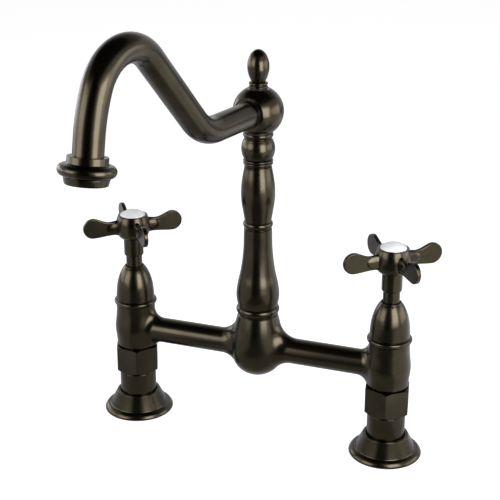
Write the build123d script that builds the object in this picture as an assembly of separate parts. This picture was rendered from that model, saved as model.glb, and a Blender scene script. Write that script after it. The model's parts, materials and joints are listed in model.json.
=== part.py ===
"""Bridge kitchen faucet with two cross handles and a swivelling gooseneck spout.

Frame: millimetres. The origin lies on the deck plane, midway between the two inlets.
+X runs from the hot valve to the cold valve, -Y points at the user, +Z is up.
Every turned profile is a list of (radius, height) pairs. Side pieces are drawn round the Z axis
with the bridge arm along +X, and spout pieces are drawn in the XZ plane with the outlet along +X.
"""
from build123d import *
import math
import os

# ------------------------------------------------------------------ fits
RUNNING_FIT = 0.05        # radial, a piece that turns in another
JOINT_FIT = 0.05          # radial, a thread, spigot or socket that stays put
FACE_GAP = 0.05           # between two faces that slide over each other
SHADOW_GAP = 0.2          # the fine dark line between two turned pieces

# ------------------------------------------------------------------ layout
INLET_SPACING = 203.2     # 8 in between the two inlets
BRIDGE_RISE = 13.15       # bridge tube axis above the valve body's underside
SPOUT_SWING = 9.0         # degrees, spout turned from -Y towards the hot side
HANDLE_TURN = {"hot": 41.2, "cold": 41.8}     # degrees, a paddle's angle from +X
NUT_TURN = {"hot": -65.5, "cold": -78.5}      # degrees, a nut corner's angle from +X

# ------------------------------------------------------------------ deck flange
FLANGE_HEIGHT = 16.4
FLANGE_RIM_R = 27.0
FLANGE_RIM_HEIGHT = 4.8
FLANGE_ROUND = 1.4        # rounded lower edge of the rim
FLANGE_CONE_R = 22.1      # foot of the cone, above the groove round the rim
FLANGE_TOP_R = 16.9
FLANGE_LIP = 2.2          # wall at the top edge
FLANGE_WEB_LOW = 3.0      # recess under the flange, for a gasket
FLANGE_WEB_HIGH = 9.0
FLANGE_FOOT_WALL = 1.4    # flat ring the flange stands on

# ------------------------------------------------------------------ inlet shank and union
SHANK_R = 14.07
SHANK_SHOW = 17.1         # bare length between flange and nut
SHANK_THREAD_R = 13.2
SHANK_THREAD_LENGTH = 12.9
INLET_R = 9.3             # thread minor radius of the 1/2 in female inlet
INLET_DEPTH = 16.0
WATERWAY_R = 6.5
NUT_FLATS = 31.3
NUT_HEIGHT = 21.8
NUT_LIP = 4.0
NUT_CHAMFER = 2.9         # at the foot of the corners
NUT_EASE = 1.0            # at their top
NUT_GAP = 0.5             # between shank shoulder and nut
WASHER_THICK = 2.0
TAIL_FLANGE_R = 12.6
TAIL_FLANGE_THICK = 2.95
TAIL_NECK_R = 9.05
TAIL_THREAD_LENGTH = 5.5

# ------------------------------------------------------------------ valve body
BODY_GAP = 1.6            # dark gap between nut and body
BODY_HEIGHT = 33.2
BODY_BELLY_R = 16.25
BODY_FOOT_R = 15.2
BODY_TOP_R = 14.9
BODY_BAND = 4.3           # straight band at the top of the body
BODY_ARM_FILLET = 9.0
BODY_ARM_LENGTH = 27.0
BODY_WALL_UNDER_SEAT = 1.5
NECK_R = 12.6
NECK_HEIGHT = 4.8
CARTRIDGE_BORE_R = 11.0
SIDE_PORT_R = 5.5

# ------------------------------------------------------------------ bridge tube and hub
TUBE_R = 9.525            # 3/4 in tube
TUBE_WALL = 1.5
SPIGOT_LENGTH = 6.0
HUB_ARM_LENGTH = 37.0
HUB_FILLET = 16.0
HUB_HEIGHT = 26.6         # hub top above the bridge axis
HUB_DROP = 23.5           # hub tip below the bridge axis
HUB_BELLY_R = 19.6
HUB_TOP_R = 15.1
HUB_SOCKET_DEPTH = 14.0
RISER_WASHER_THICK = 1.6

# ------------------------------------------------------------------ riser column
FOOT_RING = 7.2           # heights of the riser's parts, from its foot up
LOWER_VASE = 58.4
MIDDLE_RING = 7.4
UPPER_VASE = 40.4
DOUBLE_RING = 6.3
SMALL_BALL = 14.5
TOP_RING = 5.0
FOOT_RING_R = 16.1        # widest radii of the same parts
LOWER_VASE_R = 15.95
LOWER_NECK_R = 10.3
MIDDLE_RING_R = 10.95
UPPER_VASE_R = 12.35
UPPER_NECK_R = 10.0
DOUBLE_RING_R = 10.85
SMALL_BALL_R = 12.1
TOP_RING_R = 10.85
RISER_SPIGOT_R = 9.0
RISER_BORE_R = 6.0
RING_GROOVE = 0.9         # depth of the fine dark grooves under the rings

# ------------------------------------------------------------------ swivel post
POST_R = 8.0
POST_THREAD_R = 7.45
POST_THREAD_LENGTH = 12.0
POST_TOP_R = 5.5
POST_BORE_R = 5.0
POST_PORT_R = 3.5
O_RING_SECTION_R = 0.68
O_RING_GROOVE_WIDTH = 2.0
SWIVEL_WASHER_THICK = 0.6

# ------------------------------------------------------------------ spout hub and spout
BALL_R = 18.12
BALL_SEAT = 14.7          # ball centre above its underside
BALL_CROWN = 16.0         # ball's flat top above its centre
BALL_ROOF = 5.4           # metal above the post's shoulder
CHANNEL_HALF_HEIGHT = 5.5
FRONT_RING_R = 11.9
FRONT_RING_REACH = 14.9
REAR_BOSS_R = 10.3
REAR_BOSS_REACH = 17.7
SPOUT_R = 9.25
SPOUT_WALL = 1.25
SPOUT_SOCKET = 10.2       # socket floor from the swivel axis
RUN_END = 57.0            # end of the level run from the swivel axis
DIP_BEND_R = 38.0
RISE_ANGLE = 45.5
RISE_LENGTH = 68.0
CREST_BEND_R = 33.0
CREST_TURN = 109.5        # degrees turned over the crest
DROP_BEND_R = 100.0
DROP_TURN = 16.0          # degrees turned by the gentle bend down to the outlet
OUTLET_RUN = 9.9          # bare straight tube above the outlet collar

# ------------------------------------------------------------------ outlet
COLLAR_R = 12.25
COLLAR_HEIGHT = 4.6
BEAD_R = 17.3
BEAD_HEIGHT = 7.1
RIM_TOP_R = 13.8
RIM_BOTTOM_R = 12.7
RIM_HEIGHT = 4.6
AERATOR_THREAD_R = 11.2
AERATOR_THREAD_LENGTH = 5.0
AERATOR_BORE_R = 9.8
AERATOR_MOUTH_R = 9.0
AERATOR_LEDGE = 1.2
SCREEN_THICK = 3.0
SCREEN_HOLE_R = 0.9
GASKET_THICK = 1.2

# ------------------------------------------------------------------ bonnet
BONNET_HEIGHT = 31.1
BONNET_BEAD_R = 16.42
BONNET_BASE_R = 14.7
BONNET_HOLE_R = 6.65

# ------------------------------------------------------------------ cartridge
SEAT_SEAL_THICK = 2.15
SEAT_SEAL_INNER_R = 5.9
SEAT_SEAL_OUTER_R = 7.45
SKIRT_R = 9.4
DISC_CHAMBER_R = 7.6
DISC_THICK = 3.0
DISC_HOLE_R = 1.9
DISC_HOLE_OFFSET = 3.9
DRIVER_THICK = 4.6
STEM_R = 4.0
WINDOW_WIDTH = 7.0
CARTRIDGE_THREAD_LENGTH = 8.0
CARTRIDGE_FLATS = 22.0
CARTRIDGE_HEAD = 3.0
CARTRIDGE_NOSE_R = 8.0
CARTRIDGE_NOSE = 6.0
STEM_SHOW = 8.0

# ------------------------------------------------------------------ handle
EXTENSION_R = 6.1
EXTENSION_SHOW = 8.6      # bare length between bonnet and handle
EXTENSION_SPIGOT_R = 4.4
EXTENSION_SPIGOT = 16.0
SLEEVE_R = 7.37
SLEEVE_HEIGHT = 13.4
HANDLE_HUB_HEIGHT = 18.7
HANDLE_HUB_R = 12.9
HANDLE_RIM_R = 10.8
SCREW_R = 2.0
SCREW_HEAD_R = 3.6
SCREW_HEAD_THICK = 2.6
SCREW_LENGTH = 12.0
SCREW_SOCKET_FLATS = 2.5
HANDLE_WEB = 2.8
BUTTON_R = 9.4
BUTTON_RECESS = 1.6
BUTTON_SHOW = 0.7         # straight side that stands above the hub
BUTTON_DOME = 3.0
BUTTON_PLUG_R = 7.2
BUTTON_PLUG = 3.6
BUTTON_FIT = 0.3
ARM_HEIGHT = 22.9         # paddle neck axis above the handle's foot
# (half height, reach) of the oval boss that grows from the hub and fades into the flat paddle
BOSS_FLARE = ((6.4, 11.4), (5.8, 13.2), (5.5, 15.2), (5.15, 17.4), (4.2, 19.8), (1.4, 22.2))
BOSS_FLAT = 0.5           # its width over its height
PADDLE_ROOT = 11.0
PADDLE_THICK = 3.2
PADDLE_NECK = 5.3        # half height of the neck
PADDLE_TIP_R = 7.65
PADDLE_TIP_LIFT = 1.35
PADDLE_REACH = 38.5
PADDLE_COUNT = 4
PADDLE_EDGE = 0.7

# ------------------------------------------------------------------ finial
FINIAL_RING_R = 6.8
FINIAL_RING_HEIGHT = 4.7
FINIAL_NECK_R = 5.05
FINIAL_R = 7.74
FINIAL_HEIGHT = 26.9
FINIAL_STUD_R = 2.5
FINIAL_STUD_LENGTH = 9.0

# ------------------------------------------------------------------ heights that follow
shank_shoulder = FLANGE_HEIGHT + SHANK_SHOW
shank_top = shank_shoulder + SHANK_THREAD_LENGTH
nut_bottom = shank_shoulder + NUT_GAP
nut_top = nut_bottom + NUT_HEIGHT
tail_bottom = shank_top + WASHER_THICK
body_bottom = nut_top + BODY_GAP
body_top = body_bottom + BODY_HEIGHT
neck_top = body_top + NECK_HEIGHT
bridge_axis = body_bottom + BRIDGE_RISE
tail_top = body_bottom + TAIL_THREAD_LENGTH
seat = tail_top + BODY_WALL_UNDER_SEAT
cartridge_bottom = seat + SEAT_SEAL_THICK - 0.15
disc_bottom = seat + SEAT_SEAL_THICK + FACE_GAP
disc_face = disc_bottom + DISC_THICK + FACE_GAP
driver_bottom = disc_face + DISC_THICK
driver_top = driver_bottom + DRIVER_THICK
cartridge_head_top = neck_top + CARTRIDGE_HEAD
cartridge_top = cartridge_head_top + CARTRIDGE_NOSE
stem_top = cartridge_top + STEM_SHOW
bonnet_bottom = body_top + SHADOW_GAP
bonnet_top = bonnet_bottom + BONNET_HEIGHT
handle_bottom = bonnet_top + EXTENSION_SHOW
hub_foot = handle_bottom + SLEEVE_HEIGHT
handle_top = hub_foot + HANDLE_HUB_HEIGHT
spigot_top = handle_bottom + EXTENSION_SPIGOT
screw_seat = spigot_top + HANDLE_WEB
hub_top = bridge_axis + HUB_HEIGHT
riser_bottom = hub_top + SHADOW_GAP
lower_vase_foot = riser_bottom + FOOT_RING
middle_ring_foot = lower_vase_foot + LOWER_VASE
upper_vase_foot = middle_ring_foot + MIDDLE_RING
double_ring_foot = upper_vase_foot + UPPER_VASE
small_ball_foot = double_ring_foot + DOUBLE_RING
top_ring_foot = small_ball_foot + SMALL_BALL
riser_top = top_ring_foot + TOP_RING
ball_bottom = riser_top + SWIVEL_WASHER_THICK
ball_centre = ball_bottom + BALL_SEAT
ball_top = ball_centre + BALL_CROWN
post_shoulder = ball_top - BALL_ROOF
post_top = ball_top + SWIVEL_WASHER_THICK

SIDES = {"hot": -1, "cold": 1}


# ------------------------------------------------------------------ drawing helpers
def turned(points):
    """A solid turned round Z from a closed outline of (radius, height) corners."""
    return revolve(Plane.XZ * make_face(Polyline(*points, close=True)), Axis.Z)


def turned_wires(edges):
    """A solid turned round Z from outline edges that already lie in the XZ plane."""
    return revolve(make_face(Wire(edges)), Axis.Z)


def at(radius, height):
    """A point of a turned profile."""
    return Vector(radius, 0, height)


def line(*points):
    """Straight outline edges through (radius, height) points."""
    return [Edge.make_line(at(*a), at(*b)) for a, b in zip(points, points[1:])]


def bow(start, middle, end):
    """An arc of the outline through three (radius, height) points."""
    return [Edge.make_three_point_arc(at(*start), at(*middle), at(*end))]


def swell(*points, upright=False):
    """A smooth outline curve through (radius, height) points; upright makes its ends vertical."""
    tangents = [at(0, 1)] * 2 if upright else None
    return [Edge.make_spline([at(*point) for point in points], tangents=tangents)]


def dome(radius, low, high):
    """A spherical cap of the outline: from its rim at low to its crown on the axis at high."""
    return [Edge.make_tangent_arc(at(0, high), at(1, 0), at(radius, low))]


def rod(radius, low, high):
    """A cylinder on the Z axis between two heights."""
    return Pos(0, 0, low) * Cylinder(radius, high - low, align=(Align.CENTER, Align.CENTER, Align.MIN))


def ring(inner, outer, low, high):
    """A plain ring on the Z axis between two heights."""
    return rod(outer, low, high) - rod(inner, low - 1, high + 1)


def cross_rod(radius, start, end, height):
    """A cylinder along X between two places, at a height."""
    return Pos(start, 0, height) * Rot(0, 90, 0) * rod(radius, 0, end - start)


def hexagon(flats, low, high, turn=0.0):
    """A hexagonal bar on the Z axis, with a corner at the angle turn."""
    outline = Rot(0, 0, turn) * RegularPolygon(flats / 2, 6, major_radius=False)
    return Pos(0, 0, low) * extrude(outline, high - low)


# ------------------------------------------------------------------ deck and inlet pieces
def base_flange():
    """Bell-shaped deck flange with a stepped, rounded rim and a web that centres the shank."""
    hole = FLANGE_TOP_R - FLANGE_LIP
    land = SHANK_R + JOINT_FIT
    step = FLANGE_RIM_HEIGHT
    rim_start = FLANGE_CONE_R + 2.1
    foot_r = FLANGE_RIM_R - FLANGE_ROUND
    recess_r = foot_r - FLANGE_FOOT_WALL
    outline = (
        line((land, FLANGE_WEB_LOW), (recess_r, FLANGE_WEB_LOW), (recess_r, 0), (foot_r, 0))
        + bow((foot_r, 0), (FLANGE_RIM_R - 0.3 * FLANGE_ROUND, 0.3 * FLANGE_ROUND),
              (FLANGE_RIM_R, FLANGE_ROUND))
        + bow((FLANGE_RIM_R, FLANGE_ROUND), (FLANGE_RIM_R - 0.9, step * 0.67), (rim_start, step))
        + bow((rim_start, step), (FLANGE_CONE_R + 0.4, step + 0.3), (FLANGE_CONE_R, step + 1.2))
        + line((FLANGE_CONE_R, step + 1.2), (FLANGE_TOP_R, FLANGE_HEIGHT - 0.6))
        + bow((FLANGE_TOP_R, FLANGE_HEIGHT - 0.6), (FLANGE_TOP_R - 0.2, FLANGE_HEIGHT - 0.15),
              (FLANGE_TOP_R - 0.6, FLANGE_HEIGHT))
        + line((FLANGE_TOP_R - 0.6, FLANGE_HEIGHT), (hole, FLANGE_HEIGHT), (hole, FLANGE_WEB_HIGH),
               (land, FLANGE_WEB_HIGH), (land, FLANGE_WEB_LOW))
    )
    return turned_wires(outline)


def inlet_shank():
    """Turned shank: female inlet below, bare collar, and the male thread the union nut runs on."""
    outline = [
        (INLET_R, 0), (SHANK_R, 0), (SHANK_R, shank_shoulder), (SHANK_THREAD_R, shank_shoulder),
        (SHANK_THREAD_R, shank_top), (WATERWAY_R, shank_top), (WATERWAY_R, INLET_DEPTH + 2),
        (INLET_R, INLET_DEPTH),
    ]
    return turned(outline)


def union_nut(turn):
    """Hexagonal coupling nut with a lip that draws the valve tail down on the washer."""
    corner_r = NUT_FLATS / 2 / math.cos(math.radians(30))
    bevel_r = NUT_FLATS / 2 - 1.2
    envelope = turned([
        (0, nut_bottom), (bevel_r, nut_bottom), (corner_r + 0.2, nut_bottom + NUT_CHAMFER),
        (corner_r + 0.2, nut_top - NUT_EASE), (corner_r - 1.7 * NUT_EASE, nut_top), (0, nut_top),
    ])
    nut = hexagon(NUT_FLATS, nut_bottom, nut_top, turn) & envelope
    thread = rod(SHANK_THREAD_R + JOINT_FIT, nut_bottom - 1, nut_top - NUT_LIP)
    return nut - thread - rod(TAIL_NECK_R + 0.25, nut_bottom, nut_top + 1)


def union_washer():
    """Flat fibre washer between the shank and the valve tail."""
    return ring(WATERWAY_R + 0.2, TAIL_FLANGE_R - 0.2, shank_top, tail_bottom)


def union_tail():
    """Flanged tailpiece that screws into the valve body and is held by the union nut."""
    tail = rod(TAIL_FLANGE_R, tail_bottom, tail_bottom + TAIL_FLANGE_THICK)
    return tail + rod(TAIL_NECK_R, tail_bottom, tail_top) - rod(WATERWAY_R, tail_bottom - 1, tail_top + 1)


# ------------------------------------------------------------------ valve body and bridge
def arm_spigot(end):
    """Spigot of an arm that ends at x = end: it slips inside the bridge tube."""
    return cross_rod(TUBE_R - TUBE_WALL - JOINT_FIT, end - 1, end + SPIGOT_LENGTH, bridge_axis)


def arm_seams(casting):
    """The curved edges where bridge arms leave a turned casting."""
    return [edge for edge in casting.edges()
            if edge.geom_type not in (GeomType.LINE, GeomType.CIRCLE)
            and abs(edge.center(CenterOf.BOUNDING_BOX).Z - bridge_axis) < TUBE_R / 2]


def valve_body():
    """Cast valve body: barrel, bridge arm with a wide fillet, neck for cartridge and bonnet."""
    band_foot = body_top - BODY_BAND
    below, above = body_bottom - 3 * BODY_ARM_FILLET, body_top + 3 * BODY_ARM_FILLET
    belly = body_bottom + 0.42 * BODY_HEIGHT
    barrel = turned_wires(
        line((0, below), (BODY_FOOT_R, below), (BODY_FOOT_R, body_bottom))
        + swell((BODY_FOOT_R, body_bottom), (BODY_BELLY_R, belly), (BODY_TOP_R, band_foot), upright=True)
        + line((BODY_TOP_R, band_foot), (BODY_TOP_R, above), (0, above), (0, below))
    )
    body = barrel + cross_rod(TUBE_R, 0, BODY_ARM_LENGTH, bridge_axis)
    body = fillet(arm_seams(body), BODY_ARM_FILLET)
    body &= Pos(0, 0, body_bottom) * Box(4 * BODY_ARM_LENGTH, 4 * BODY_ARM_LENGTH, BODY_HEIGHT,
                                         align=(Align.CENTER, Align.CENTER, Align.MIN))
    body += arm_spigot(BODY_ARM_LENGTH)
    body += rod(NECK_R, body_top - 1, neck_top)
    body -= rod(TAIL_NECK_R + JOINT_FIT, body_bottom - 1, tail_top)
    body -= rod(WATERWAY_R, tail_top - 1, seat + 1)
    body -= rod(CARTRIDGE_BORE_R + JOINT_FIT, seat, neck_top + 1)
    return body - cross_rod(SIDE_PORT_R, 0, BODY_ARM_LENGTH + SPIGOT_LENGTH + 1, bridge_axis)


def bridge_tube():
    """Plain tube between a valve body's arm and the hub's arm."""
    start, end = BODY_ARM_LENGTH, INLET_SPACING / 2 - HUB_ARM_LENGTH
    tube = cross_rod(TUBE_R, start, end, bridge_axis)
    return tube - cross_rod(TUBE_R - TUBE_WALL, start - 1, end + 1, bridge_axis)


def bridge_hub():
    """Cast centre hub: a bell above, a soft point below and two arms with wide fillets."""
    tip = bridge_axis - HUB_DROP
    bell = turned_wires(
        swell((0, tip), (0.47 * HUB_BELLY_R, tip + 0.13 * HUB_DROP),
              (0.82 * HUB_BELLY_R, tip + 0.37 * HUB_DROP), (HUB_BELLY_R, bridge_axis - 0.15 * HUB_DROP),
              (0.975 * HUB_BELLY_R, bridge_axis + 0.25 * HUB_HEIGHT),
              (0.87 * HUB_BELLY_R, bridge_axis + 0.68 * HUB_HEIGHT), (HUB_TOP_R, hub_top - 0.7))
        + line((HUB_TOP_R, hub_top - 0.7), (HUB_TOP_R - 0.5, hub_top), (0, hub_top), (0, tip))
    )
    hub = bell + cross_rod(TUBE_R, -HUB_ARM_LENGTH, HUB_ARM_LENGTH, bridge_axis)
    hub = fillet(arm_seams(hub), HUB_FILLET)
    hub += arm_spigot(HUB_ARM_LENGTH) + Rot(0, 0, 180) * arm_spigot(HUB_ARM_LENGTH)
    bore = HUB_ARM_LENGTH + SPIGOT_LENGTH + 1
    hub -= cross_rod(WATERWAY_R, -bore, bore, bridge_axis)
    hub -= rod(RISER_SPIGOT_R + JOINT_FIT, hub_top - HUB_SOCKET_DEPTH, hub_top + 1)
    hub -= rod(WATERWAY_R, bridge_axis, hub_top)
    return hub - rod(HUB_TOP_R - 2.2, hub_top + SHADOW_GAP - RISER_WASHER_THICK, hub_top + 1)


def riser_washer():
    """Sealing washer sunk in the hub's top, under the riser."""
    return ring(RISER_SPIGOT_R + 0.2, HUB_TOP_R - 2.4, riser_bottom - RISER_WASHER_THICK, riser_bottom)


def ring_groove(neck_r, foot, height):
    """Outline of a rounded edge over a neck and the fine groove above it, up to the next ring."""
    return line((neck_r, foot), (neck_r - 0.05, foot + height - 1.4), (neck_r - 0.3, foot + height - 1.1),
                (neck_r - RING_GROOVE, foot + height - 0.9), (neck_r - RING_GROOVE, foot + height - 0.4),
                (neck_r - 0.4, foot + height))


def riser():
    """Turned riser column: two vases and a small ball between ringed beads."""
    foot, top = riser_bottom, riser_top
    vase_foot_r = LOWER_VASE_R - 1.05
    base_r = FOOT_RING_R - 1.7
    middle = middle_ring_foot + 2.9
    double = double_ring_foot + 2.3
    crown = top_ring_foot + 1.6
    outline = (
        line((RISER_BORE_R, foot), (base_r, foot), (base_r, foot + 1.0))
        + bow((base_r, foot + 1.0), (FOOT_RING_R, foot + 3.9), (base_r + 0.2, lower_vase_foot - 0.6))
        + line((base_r + 0.2, lower_vase_foot - 0.6), (vase_foot_r, lower_vase_foot))
        + swell((vase_foot_r, lower_vase_foot), (LOWER_VASE_R, lower_vase_foot + 0.134 * LOWER_VASE),
                (0.94 * LOWER_VASE_R, lower_vase_foot + 0.288 * LOWER_VASE),
                (0.811 * LOWER_VASE_R, lower_vase_foot + 0.452 * LOWER_VASE),
                (1.058 * LOWER_NECK_R, lower_vase_foot + 0.721 * LOWER_VASE),
                (LOWER_NECK_R, middle_ring_foot))
        + ring_groove(LOWER_NECK_R, middle_ring_foot, 2.9)
        + bow((LOWER_NECK_R - 0.4, middle), (MIDDLE_RING_R, middle + 2.4),
              (MIDDLE_RING_R - 1.25, upper_vase_foot))
        + swell((MIDDLE_RING_R - 1.25, upper_vase_foot),
                (0.883 * UPPER_VASE_R, upper_vase_foot + 0.181 * UPPER_VASE),
                (0.977 * UPPER_VASE_R, upper_vase_foot + 0.369 * UPPER_VASE),
                (UPPER_VASE_R, upper_vase_foot + 0.559 * UPPER_VASE),
                (0.951 * UPPER_VASE_R, upper_vase_foot + 0.748 * UPPER_VASE),
                (UPPER_NECK_R, double_ring_foot))
        + ring_groove(UPPER_NECK_R, double_ring_foot, 2.3)
        + bow((UPPER_NECK_R - 0.4, double), (DOUBLE_RING_R - 0.1, double + 1.0),
              (DOUBLE_RING_R - 0.65, double + 2.0))
        + bow((DOUBLE_RING_R - 0.65, double + 2.0), (DOUBLE_RING_R, double + 3.0),
              (DOUBLE_RING_R - 0.95, small_ball_foot))
        + bow((DOUBLE_RING_R - 0.95, small_ball_foot), (SMALL_BALL_R, small_ball_foot + 0.56 * SMALL_BALL),
              (SMALL_BALL_R - 1.8, top_ring_foot))
        + ring_groove(SMALL_BALL_R - 1.8, top_ring_foot, 1.6)
        + bow((SMALL_BALL_R - 2.2, crown), (TOP_RING_R, crown + 1.4), (TOP_RING_R - 0.65, top))
        + line((TOP_RING_R - 0.65, top), (RISER_BORE_R, top), (RISER_BORE_R, foot))
    )
    column = turned_wires(outline)
    column += ring(RISER_BORE_R, RISER_SPIGOT_R, foot - HUB_SOCKET_DEPTH + 1, foot + 1)
    return column - rod(POST_THREAD_R + JOINT_FIT, top - POST_THREAD_LENGTH - SHADOW_GAP, top + 1)


# ------------------------------------------------------------------ swivel
def o_ring_heights():
    """Heights of the two seals, below and above the water channel."""
    low = (riser_top + ball_centre - CHANNEL_HALF_HEIGHT) / 2
    high = (ball_centre + CHANNEL_HALF_HEIGHT + post_shoulder) / 2
    return low, high


def swivel_post():
    """Post screwed into the riser: the spout turns on it, and water leaves by its side ports."""
    post = rod(POST_THREAD_R, riser_top - POST_THREAD_LENGTH, riser_top)
    post += rod(POST_R, riser_top, post_shoulder) + rod(POST_TOP_R, post_shoulder - 1, post_top)
    groove_floor = POST_R - 2 * O_RING_SECTION_R - 0.04
    for height in o_ring_heights():
        half = O_RING_GROOVE_WIDTH / 2
        post -= ring(groove_floor, POST_R + 1, height - half, height + half)
    post -= rod(POST_BORE_R, riser_top - POST_THREAD_LENGTH - 1, ball_centre + POST_PORT_R + 0.3)
    port = cross_rod(POST_PORT_R, -POST_R - 1, POST_R + 1, ball_centre)
    post -= port + Rot(0, 0, 90) * port
    return post - rod(FINIAL_STUD_R + JOINT_FIT, post_top - FINIAL_STUD_LENGTH - 0.4, post_top + 1)


def post_o_rings():
    """The two seals of the swivel."""
    centre_r = POST_R - O_RING_SECTION_R - 0.02
    return Compound(children=[Pos(0, 0, height) * Torus(centre_r, O_RING_SECTION_R)
                              for height in o_ring_heights()])


def swivel_washer():
    """Slippery washer under the spout hub."""
    return ring(POST_R + RUNNING_FIT, 10.0, riser_top, ball_bottom - FACE_GAP)


def spout_hub():
    """Ball that turns on the post, with the collar round the spout and a boss behind."""
    flat_low, flat_high = (math.sqrt(BALL_R**2 - cut**2) for cut in (BALL_SEAT, BALL_CROWN))
    ball = Rot(0, 0, 90) * turned_wires(
        line((0, ball_bottom), (flat_low, ball_bottom))
        + bow((flat_low, ball_bottom), (BALL_R, ball_centre), (flat_high, ball_top))
        + line((flat_high, ball_top), (0, ball_top), (0, ball_bottom))
    )
    ball += cross_rod(FRONT_RING_R, 0, FRONT_RING_REACH - 0.7, ball_centre)
    ball += cross_rod(FRONT_RING_R - 0.7, 0, FRONT_RING_REACH, ball_centre)
    boss = turned_wires(
        line((0, 0), (REAR_BOSS_R, 0), (REAR_BOSS_R, REAR_BOSS_REACH - 1.5))
        + bow((REAR_BOSS_R, REAR_BOSS_REACH - 1.5), (REAR_BOSS_R - 0.7, REAR_BOSS_REACH - 0.45),
              (REAR_BOSS_R - 2.0, REAR_BOSS_REACH))
        + line((REAR_BOSS_R - 2.0, REAR_BOSS_REACH), (0, REAR_BOSS_REACH), (0, 0))
    )
    ball += Pos(0, 0, ball_centre) * Rot(0, -90, 0) * boss
    ball -= rod(POST_R + RUNNING_FIT, ball_bottom - 1, post_shoulder + FACE_GAP)
    ball -= rod(POST_TOP_R + RUNNING_FIT, ball_bottom, ball_top + 1)
    channel_r = POST_R + 1.2
    ball -= rod(channel_r, ball_centre - CHANNEL_HALF_HEIGHT, ball_centre + CHANNEL_HALF_HEIGHT)
    ball -= cross_rod(SPOUT_R + JOINT_FIT, SPOUT_SOCKET, 2 * BALL_R, ball_centre)
    return ball - cross_rod(CHANNEL_HALF_HEIGHT, 0, SPOUT_SOCKET + 1, ball_centre)


def finial_washer():
    """Slippery washer between the spout hub and the finial."""
    return ring(POST_TOP_R + RUNNING_FIT, FINIAL_RING_R - 0.6, ball_top + FACE_GAP, post_top - FACE_GAP)


def finial():
    """Acorn finial on a double ring: its stud screws into the post and keeps the spout on."""
    foot = post_top
    ring_top = foot + FINIAL_RING_HEIGHT
    egg = FINIAL_HEIGHT - FINIAL_RING_HEIGHT
    outline = (
        line((0, foot), (FINIAL_RING_R - 0.5, foot))
        + bow((FINIAL_RING_R - 0.5, foot), (FINIAL_RING_R, foot + 0.8), (FINIAL_RING_R - 0.5, foot + 1.6))
        + line((FINIAL_RING_R - 0.5, foot + 1.6), (FINIAL_RING_R - 1.0, foot + 1.8),
               (FINIAL_RING_R - 1.0, foot + 2.2), (FINIAL_RING_R - 0.5, foot + 2.4))
        + bow((FINIAL_RING_R - 0.5, foot + 2.4), (FINIAL_RING_R - 0.05, foot + 3.1),
              (FINIAL_RING_R - 1.0, foot + 4.1))
        + line((FINIAL_RING_R - 1.0, foot + 4.1), (FINIAL_NECK_R, ring_top))
        + swell((FINIAL_NECK_R, ring_top), (0.88 * FINIAL_R, ring_top + 0.19 * egg),
                (FINIAL_R, ring_top + 0.45 * egg), (0.84 * FINIAL_R, ring_top + 0.75 * egg),
                (0.5 * FINIAL_R, ring_top + 0.93 * egg), (0, ring_top + egg))
        + line((0, ring_top + egg), (0, foot))
    )
    return turned_wires(outline) + rod(FINIAL_STUD_R, foot - FINIAL_STUD_LENGTH, foot + 1)


# ------------------------------------------------------------------ spout
def spout_route():
    """Centre line of the spout tube in the XZ plane, from its socket to its outlet end."""
    run = Line((SPOUT_SOCKET, ball_centre), (RUN_END, ball_centre))
    dip = JernArc(run @ 1, run % 1, DIP_BEND_R, RISE_ANGLE)
    rise = PolarLine(dip @ 1, RISE_LENGTH, direction=dip % 1)
    crest = JernArc(rise @ 1, rise % 1, CREST_BEND_R, -CREST_TURN)
    drop = JernArc(crest @ 1, crest % 1, DROP_BEND_R, -DROP_TURN)
    outlet = PolarLine(drop @ 1, OUTLET_RUN + COLLAR_HEIGHT, direction=drop % 1)
    return Plane.XZ * (run + dip + rise + crest + drop + outlet)


def spout_tube():
    """Bent spout tube."""
    route = spout_route()
    section = Circle(SPOUT_R) - Circle(SPOUT_R - SPOUT_WALL)
    return sweep(Plane(origin=route @ 0, z_dir=route % 0) * section, path=route)


def outlet_place():
    """Place of the outlet pieces, which are drawn hanging down from z = 0 at the collar's top."""
    route = spout_route()
    end, heading = route @ 1, route % 1
    top = end - heading * COLLAR_HEIGHT
    tilt = math.degrees(math.atan2(heading.X, -heading.Z))
    return Pos(top.X, top.Y, top.Z) * Rot(0, -tilt, 0)


def spout_collar():
    """Ferrule on the tube's end: a plain ring over a fat bead, threaded inside for the aerator."""
    bead_top, bead_bottom = -COLLAR_HEIGHT, -COLLAR_HEIGHT - BEAD_HEIGHT
    bead_middle = (bead_top + bead_bottom) / 2
    ferrule = turned_wires(
        line((SPOUT_R + JOINT_FIT, 0), (COLLAR_R - 0.3, 0), (COLLAR_R, -0.4), (COLLAR_R, bead_top + 0.5),
             (COLLAR_R + 0.5, bead_top))
        + bow((COLLAR_R + 0.5, bead_top), (BEAD_R, bead_middle), (RIM_TOP_R - 0.6, bead_bottom))
        + line((RIM_TOP_R - 0.6, bead_bottom), (SPOUT_R + JOINT_FIT, bead_bottom), (SPOUT_R + JOINT_FIT, 0))
    )
    shoulder = bead_bottom - SHADOW_GAP + AERATOR_THREAD_LENGTH + GASKET_THICK + FACE_GAP
    return ferrule - rod(AERATOR_THREAD_R + JOINT_FIT, bead_bottom - 1, shoulder)


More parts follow.
